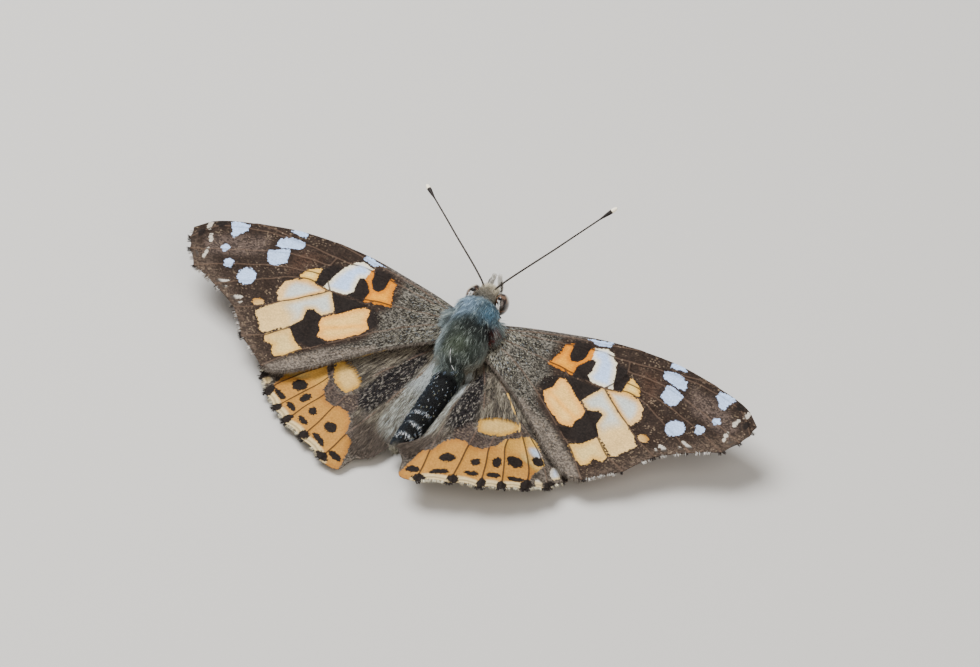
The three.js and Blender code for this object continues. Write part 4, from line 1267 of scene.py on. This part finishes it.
def body_coat(skin):
    """The coats of chest, abdomen and head, in that order, clear of the eyes."""
    coats = {"thorax": Coat(11), "abdomen": Coat(12), "head": Coat(13)}
    points, normals = skin_samples(skin, coats["thorax"].draw, 60000)
    clear = eye_nearness(points) > 1.04
    points, normals = points[clear], normals[clear]
    y = points[:, 1]
    plan = {"thorax": (12000, (y >= WAIST_Y) & (y < NECK_Y), chest_tufts),
            "abdomen": (12000, y < WAIST_Y, abdomen_tufts),
            "head": (2600, y >= NECK_Y, head_tufts)}
    for name, coat in coats.items():
        quota, part, tufts = plan[name]
        choice = np.flatnonzero(part)[:quota]
        p, n = points[choice], normals[choice]
        r = coat.draw
        way, length, lift, droop, width = tufts(p, r)
        way[:, 0] += 0.5 * (lock(p, 0.45, 1) - 0.5)
        way += 0.18 * r.normal(size=way.shape)
        lie = way - n * np.sum(way * n, axis=1, keepdims=True)
        shade = 0.7 * lock(p, 0.2, 2) + 0.3 * r.random(len(p))
        colour = body_colour(p) * (0.3 + 1.5 * shade ** 1.5)[:, None]
        if name == "thorax":
            light = shade > 0.8
            colour[light] = blend(colour[light], rgb("#b9c4bd"), 0.5)
        if name == "abdomen":
            fleck = (lock(p, 0.15, 4) > 0.93) & (p[:, 1] > -18)
            colour[fleck] = jitter(r, ["#8294ab", "#a5a58c", "#c8ccd0"], [2, 1, 1],
                                   int(fleck.sum()), 0.2)
            white = in_pale_ring(p) & (lock(p, 0.13, 7) > 0.45)
            colour[white] = jitter(r, ["#f2f4f6", "#c3ccd6"], [2, 1], int(white.sum()), 0.1)
        coat.grow(p - n * 0.03, lie, n, length, width * (0.8 + 0.6 * r.random(len(p))),
                  lift, np.full(len(p), droop), colour, body_unwrap(p))
    return coats


def eye_rims(coat):
    """The white scales with black dots that edge each eye's rear."""
    r = coat.draw
    for side in (-1, 1):
        n = 420
        turn = np.radians(r.uniform(105, 240, n))
        row = r.random(n)
        around = np.column_stack([0 * turn, np.cos(turn), np.sin(turn)])
        out = 0.12 - 0.4 * row + 0.25 * step(110, 200, np.degrees(turn))
        off = np.column_stack([side * out, around[:, 1:] * (1.02 + 0.05 * row)[:, None]])
        roots = np.array(EYE["centre"]) * (side, 1, 1) + off * EYE["size"]
        lie = np.column_stack([np.full(n, side * 0.8), around[:, 1] * 0.3 - 0.5,
                               around[:, 2] * 0.3 - 0.2])
        colour = jitter(r, ["#f4f4f2", "#d5d5d0"], [5, 2], n, 0.08)
        dot = (lock(np.column_stack([turn, row]), 0.28, 6) > 0.72) | (turn < 2.1) | (row < 0.12)
        colour[dot] = jitter(r, ["#12100f", "#2a2624"], [3, 1], int(dot.sum()))
        coat.grow(roots, lie, around, 0.22 + 0.1 * r.random(n), np.full(n, 0.04),
                  np.full(n, 0.15), np.full(n, 0.2), colour, body_unwrap(roots))


def stray_hair(coat):
    """One long white hair bent over the chest's rear, and red-brown scales at the right hinge."""
    root = np.array([(-0.55, -5.4, 6.45), (-0.3, -6.15, 6.1), (0.25, -6.9, 5.45)])
    lie = np.array([(0.25, -0.8, -0.3), (0.5, -0.75, -0.6), (0.75, -0.5, -0.4)])
    up = np.tile((0.0, 0.4, 0.9), (3, 1))
    coat.grow(root, lie, up, np.array((1.0, 1.0, 0.8)), np.full(3, 0.035), np.full(3, 0.05),
              np.full(3, 0.1), np.tile(rgb("#eef0ee"), (3, 1)), body_unwrap(root))
    r = coat.draw
    n = 60
    roots = np.array((2.75, -2.1, 6.15)) + r.normal(size=(n, 3)) * (0.22, 0.3, 0.1)
    lie = np.array((0.5, -1, 0.1)) + 0.3 * r.normal(size=(n, 3))
    coat.grow(roots, lie, np.tile((0.0, 0.0, 1.0), (n, 1)), 0.3 + 0.2 * r.random(n),
              np.full(n, 0.03), np.full(n, 0.3), np.full(n, 0.2),
              jitter(r, ["#5a231d", "#2a1512"], [3, 2], n), body_unwrap(roots))


def eye_material():
    """Compound eye: clear hard lenses over brown pigment, so a glossy ball with fine facets."""
    material, tree, shader = new_material("compound_eye", roughness=0.2, ior=1.5,
                                          coat_weight=0.7, coat_roughness=0.1)
    spot = add(tree, "TexCoord").outputs["Object"]
    # Real facets are about 0.025 mm; these are drawn at 0.05 mm, the finest that shows
    facets = add(tree, "TexVoronoi", {"Vector": spot, "Scale": 1 / (0.05 * MM),
                                      "Randomness": 0.25})
    rim = add(tree, "Attribute", attribute_name="rim").outputs["Fac"]
    bands = ramp(tree, grain(tree, spot, 0.6, 2), [(0.36, "#0f0906"), (0.5, "#33231a"),
                                                   (0.64, "#665040")])
    # A painted pale sheen where rim is high, at the eye's upper outer edge
    colour = mixed(tree, ease(tree, rim, 0.72, 0.95), bands, linear("#b7b0a2"))
    tree.links.new(colour, shader.inputs["Base Color"])
    relief(tree, shader, facets.outputs["Distance"], 0.35, 0.01, invert=True)
    return material


def eyes(material):
    """Two domed eyes, each with a painted pale sheen towards one direction at its upper outer
    edge.
    """
    for name, side, pale in (("left", -1, (-0.7, 0.45, 0.75)), ("right", 1, (0.63, 0.65, 0.42))):
        centre = np.array(EYE["centre"]) * (side, 1, 1)
        obj = ball("compound_eye_" + name, centre, np.array(EYE["size"]) * 0.98, 0, 64, 40)
        points = (in_mm(obj) - centre) / EYE["size"]
        # rim: how far each point lies towards the painted sheen
        store(obj, "rim", np.clip(points @ np.array(pale), 0, 1))
        bpy.ops.object.shade_smooth()
        dress(obj, material, "eye", "eye_" + name)


# Feelers, palps, tongue and legs

MOST_RINGS = 96


def swept(name, path, radii, sides=12, along=None):
    """A cylinder cut into rings by subdividing its long edges, the rings laid along a path.

    along is kept for the material: by default 0 at the first ring and 1 at the last.
    """
    rings = min(len(path), MOST_RINGS)
    places = np.linspace(0, len(path) - 1, rings)
    whole = np.arange(len(path))
    path = resample(path, whole, places)
    radii = np.interp(places, whole, radii)
    along = np.linspace(0, 1, rings) if along is None else np.interp(places, whole, along)
    bpy.ops.object.select_all(action="DESELECT")
    bpy.ops.mesh.primitive_cylinder_add(vertices=sides, radius=1, depth=1,
                                        end_fill_type="TRIFAN")
    obj = added(name)
    height = coords(obj)[:, 2][values_of(obj.data.edges, "vertices", 2)]
    edit_only(obj, "EDGE", np.abs(height[:, 0] - height[:, 1]) > 0.5)
    bpy.ops.mesh.subdivide(number_cuts=rings - 2)
    bpy.ops.object.mode_set(mode="OBJECT")
    points = coords(obj)
    level = np.rint((points[:, 2] + 0.5) * (rings - 1)).astype(int)
    tangent = unit(np.gradient(path, axis=0))
    across = np.cross(tangent[0], (0.3, 0.2, 1))
    frames = []
    for t in tangent:
        across = across - t * (across @ t)
        across /= np.linalg.norm(across)
        frames.append((across, np.cross(t, across)))
    frames = np.array(frames)[level]
    laid = path[level] + radii[level][:, None] * (
        points[:, :1] * frames[:, 0] + points[:, 1:2] * frames[:, 1])
    set_coords(obj, place(laid))
    store(obj, "along", along[level])
    bpy.ops.object.shade_smooth()
    return obj


def antenna_material():
    """Feeler: dark scaled segments with pale rings, and a club with a cream tip."""
    material, tree, shader = new_material("feeler_scales", roughness=0.6, ior=1.5,
                                          specular_ior_level=0.25)
    along = add(tree, "Attribute", attribute_name="along").outputs["Fac"]
    joints = 40     # each about 0.4 mm
    rings = add(tree, "Math", {0: product(tree, along, joints * 2 * math.pi)},
                operation="SINE").outputs[0]
    pale = product(tree, ease(tree, rings, 0.75, 1.0), ease(tree, along, 0.88, 0.8), 0.3)
    spot = add(tree, "TexCoord").outputs["Object"]
    dark = ramp(tree, grain(tree, spot, 0.15, 2), [(0.3, "#0f0c0b"), (0.7, "#241c18")])
    colour = mixed(tree, pale, dark, linear("#8a8072"))
    colour = mixed(tree, ease(tree, along, 0.957, 0.961), colour, linear("#fff6dc"))
    tree.links.new(colour, shader.inputs["Base Color"])
    relief(tree, shader, rings, 0.5, 0.02)
    return material


ANTENNA_ROOT = np.array((0.62, 3.05, ROOT_HEIGHT + 2.75))
ANTENNA_TIP = {1: np.array((10.05, 12.94, ROOT_HEIGHT + 10.95)),
               -1: np.array((-11.93, 12.68, ROOT_HEIGHT + 5.07))}


def antennae(material):
    """Two feelers, thin and straight, each with a club at its end."""
    for name, side in (("left", -1), ("right", 1)):
        root = ANTENNA_ROOT * (side, 1, 1)
        tip = ANTENNA_TIP[side]
        inner = np.array((side * 0.45, 2.7, HEAD["centre"][2] + 0.7))
        middle = (root + tip) / 2 + np.array((side * 0.3, 0.2, 0.35))
        path = smooth([inner, root, middle, tip], 0.1)
        span = span_of(path)
        # More rings near the club, where the shape changes
        t = np.linspace(0, 1, MOST_RINGS)
        t = 0.9 * np.minimum(t / 0.6, 1) + 0.1 * np.maximum((t - 0.6) / 0.4, 0)
        path = resample(path, span, t * span[-1])
        radii = 0.105 - 0.02 * t + 0.15 * step(0.855, 0.955, t)
        # The tip closes round
        radii *= np.sqrt(np.clip(1 - ((t - 0.97) / 0.03).clip(0) ** 2, 0.02, 1))
        obj = swept("feeler_" + name, path, radii, 16, t)
        dress(obj, material, "antenna", "antenna_" + name)


def leg_material():
    """Leg: thin brown cuticle under short pale scales, which makes it dull and dusty."""
    material, tree, shader = new_material("leg_scales", roughness=0.7, ior=1.5,
                                          specular_ior_level=0.25)
    spot = add(tree, "TexCoord").outputs["Object"]
    colour = ramp(tree, grain(tree, spot, 0.12, 3), [(0.3, "#4a3929"), (0.5, "#86704f"),
                                                     (0.7, "#b9a57e")])
    tree.links.new(colour, shader.inputs["Base Color"])
    relief(tree, shader, grain(tree, spot, 0.08, 2), 0.5, 0.02)
    return material


LEGS = {
    "foreleg": [(0.9, 0.2, 3.9), (1.35, 2, 3), (1.15, 3.4, 3.5), (1.05, 4.1, 4.2)],
    "leg_mid": [(1.2, -1.4, 3.4), (4.2, 0, 3.4), (6.1, 1.1, 1.1), (6.9, 1.6, 0.2),
                (8.9, 2.6, 0.2)],
    "leg_hind": [(1.1, -3.6, 3.2), (3.5, -5.8, 1.55), (4.6, -8.8, 0.75), (4.9, -10.2, 0.2),
                 (5.6, -12.8, 0.2)],
}


def thorn(name, root, tip, radius):
    """A slightly arched spur or claw, from its root to its point."""
    t = np.linspace(0, 1, 6)
    path = np.array(root) + (np.array(tip) - root) * t[:, None]
    path[:, 2] += 0.06 * np.sin(math.pi * t)
    return swept(name, path, radius * (1 - 0.92 * t), 6)


SHIN_END, FOOT = 0.7, 0.72   # shares of a walking leg's length
FOOT_JOINT = 0.056


def spurs_and_claws(path, t):
    """Two claws at the tip of the foot, and two spurs at the end of the shin."""
    ahead = unit(path[-1] - path[-6])
    aside = np.array((ahead[1], -ahead[0], 0))
    shin = path[np.searchsorted(t, SHIN_END)]
    parts = []
    for turn in (-1, 1):
        tip = path[-1] + ahead * 0.28 + aside * 0.13 * turn - (0, 0, 0.05)
        parts.append(thorn("claw", path[-1] - ahead * 0.05, tip, 0.045))
        spur = shin + ahead * 0.5 + aside * 0.28 * turn + (0, 0, 0.02)
        parts.append(thorn("spur", shin, spur, 0.05))
    return parts


def legs(material):
    """Thigh, shin and, on the walking legs, a five-jointed foot that rests on the floor."""
    for name, points in LEGS.items():
        for word, side in (("left", -1), ("right", 1)):
            path = smooth(np.array(points, float) * (side, 1, 1), 0.08)
            t = span_of(path) / span_of(path)[-1]
            if name == "foreleg":
                radii = np.interp(t, [0, 0.4, 0.8, 1], [0.3, 0.22, 0.2, 0.1])
                parts = []
            else:
                radii = np.interp(t, [0, 0.12, 0.38, 0.45, 0.68, FOOT, 1],
                                  [0.3, 0.3, 0.2, 0.17, 0.14, 0.11, 0.09])
                joints = (t > FOOT) & (np.abs((t - FOOT) / FOOT_JOINT % 1) < 0.2)
                radii = np.where(joints, radii * 0.72, radii)
                path[:, 2] = np.maximum(path[:, 2] - 0.09 * step(0.6, 0.75, t), radii + 0.005)
                parts = spurs_and_claws(path, t)
            parts.insert(0, swept("leg", path, radii, 12))
            obj = joined("walking_" + name + "_" + word, parts)
            dress(obj, material, "leg", name + "_" + word)


def tongue(material):
    """The coiled tongue under the head, hung from the mouth."""
    turns = 2.2
    centre_y, centre_z = 3.9, 4.85
    turn = np.linspace(0, 2 * math.pi * turns, 120)
    radius = 0.93 - 0.058 * turn
    coil = np.column_stack([0 * turn, centre_y - radius * np.cos(turn),
                            centre_z - radius * np.sin(turn)])
    path = np.vstack([smooth([(0, 2.9, 6.2), (0, 2.98, 5.5), coil[0]], 0.06)[:-1], coil])
    obj = swept("coiled_tongue", path, np.linspace(0.15, 0.06, len(path)), 12)
    dress(obj, material, "cuticle", "proboscis")


PALP = [(0.46, 3.3, 6.15), (0.55, 4.1, 6.55), (0.6, 4.75, 7.4), (0.38, 5.1, 8.45)]


def palps(material, coat):
    """Two upturned palps, bristled in white and grey with a black stripe."""
    for name, side in (("left", -1), ("right", 1)):
        path = smooth(np.array(PALP) * (side, 1, 1), 0.1)
        t = np.linspace(0, 1, len(path))
        radii = 0.24 - 0.16 * t ** 2
        obj = swept("palp_core_" + name, path, radii, 14)
        dress(obj, material, "palp", "palp_" + name)
        draw = coat.draw
        n = 1700
        pick = draw.integers(0, len(path), n)
        tangent = unit(np.gradient(path, axis=0))[pick]
        around = draw.normal(size=(n, 3))
        normal = unit(around - tangent * np.sum(around * tangent, axis=1, keepdims=True))
        roots = path[pick] + normal * radii[pick][:, None] * 0.9
        colour = jitter(draw, ["#eeece6", "#c2bdb2", "#7a746a"], [6, 2, 1], n, 0.1)
        stripe = (normal @ unit(np.array((side * 0.75, -0.6, 0.1)))) > 0.92
        stripe &= (t[pick] > 0.45) & (t[pick] < 0.8)
        colour[stripe] = jitter(draw, ["#15120f", "#2a2522"], [3, 1], int(stripe.sum()))
        where = np.column_stack([0.3 + 0.4 * draw.random(n), 0.9 + 0.05 * t[pick]])
        coat.grow(roots, tangent, normal, 0.4 + 0.3 * draw.random(n),
                  np.full(n, 0.022), 0.3 + 0.25 * draw.random(n), np.full(n, 0.25), colour, where)


def wings(hair):
    """Four wings, each a scaled sheet and the hair and fringe on it."""
    kinds = []
    for kind, wing, put, hair_of, under, seed in (
            ("forewing", forewing, forewing_place, forewing_hair, FORE_UNDER, 21),
            ("hindwing", hindwing, hindwing_place, hindwing_hair, HIND_UNDER, 31)):
        finish = [wing_material(kind + "_upper_scales", wing["margin"]),
                  wing_material(kind + "_under_scales", under["margin"], under)]
        kinds.append((kind, wing, put, hair_of, finish, seed))
    for word, side in (("left", -1), ("right", 1)):
        for kind, wing, put, hair_of, finish, seed in kinds:
            obj, outline = wing_sheet(kind + "_scales_" + word, wing, put, side, finish)
            dress(obj, None, "wing_scales", kind + "_" + word)
            coat = Coat(seed + side)
            hair_of(coat, side, outline)
            fringe(coat, wing, put, side, outline)
            dress(coat.piece(kind + "_hair_" + word), hair, "wing_scales")


def butterfly():
    """Every piece, in the order in which they are made."""
    hair = hair_material()
    wings(hair)
    cuticle = skin_material()
    skin = body_skin()
    coats = body_coat(skin)
    dress(skin, cuticle, "body_fur", "head", "thorax", "abdomen")
    stray_hair(coats["thorax"])
    eye_rims(coats["head"])
    leg_scales = leg_material()
    palps(leg_scales, coats["head"])
    for name, coat in coats.items():
        dress(coat.piece(name + "_coat"), hair, "body_fur")
    eyes(eye_material())
    antennae(antenna_material())
    legs(leg_scales)
    tongue(leg_scales)


def floor():
    """A plain pale floor, wide enough to fill the view."""
    bpy.ops.object.select_all(action="DESELECT")
    bpy.ops.mesh.primitive_plane_add(size=4, location=(0, 0, 0))
    obj = added("studio_floor")
    material, _, shader = new_material("matt_paper", roughness=0.9)
    shader.inputs["Base Color"].default_value = linear("#bdbbb7")
    obj.data.materials.append(material)


def light(name, direction, size, power, colour, away=0.5):
    """A soft square light, aimed at the butterfly from away metres off."""
    data = bpy.data.lights.new(name, "AREA")
    data.size = size
    data.energy = power
    data.color = linear(colour)[:3]
    obj = bpy.data.objects.new(name, data)
    bpy.context.scene.collection.objects.link(obj)
    obj.location = Vector(direction).normalized() * away
    obj.rotation_euler = (-obj.location).to_track_quat("-Z", "Y").to_euler()


def surroundings():
    """A plain room: even light from all sides."""
    world = bpy.data.worlds.new("studio")
    world.use_nodes = True
    background = world.node_tree.nodes["Background"]
    background.inputs["Color"].default_value = linear("#dfe4ea")
    background.inputs["Strength"].default_value = 0.42
    bpy.context.scene.world = world


def camera():
    """The photograph's view: from above, from behind and from the butterfly's right."""
    above, round_to_right, roll = 42.0, 20.495, 5.5     # degrees
    shown_width = 105.376                               # millimetres across the picture
    away = 2000
    sensor = 36
    level = np.array((*turned(1.0, 0.0, round_to_right), 0.0))
    rise = np.cross((0, 0, 1), level)
    rise = rise * math.sin(math.radians(above)) + (0, 0, math.cos(math.radians(above)))
    right, up = turned(level, rise, -roll)
    back = np.cross(right, up)
    aim_right, aim_down = 1.527, 1.016
    aim = np.array((0, 0, ROOT_HEIGHT)) + aim_right * right - aim_down * up
    data = bpy.data.cameras.new("camera")
    data.sensor_width = sensor
    data.lens = sensor * away / shown_width
    data.clip_start, data.clip_end = 0.05, 10
    obj = bpy.data.objects.new("camera", data)
    bpy.context.scene.collection.objects.link(obj)
    obj.rotation_mode = "QUATERNION"
    obj.rotation_quaternion = Matrix((right, up, back)).transposed().to_quaternion()
    obj.location = Vector(place(aim + back * away))
    bpy.context.scene.camera = obj


butterfly()
floor()
light("window", (-0.5, 0.1, 1.0), 0.3, 5.3, "#ffffff")
light("fill", (0.7, -0.7, 0.8), 0.6, 2.5, "#fff4e6")
surroundings()
camera()
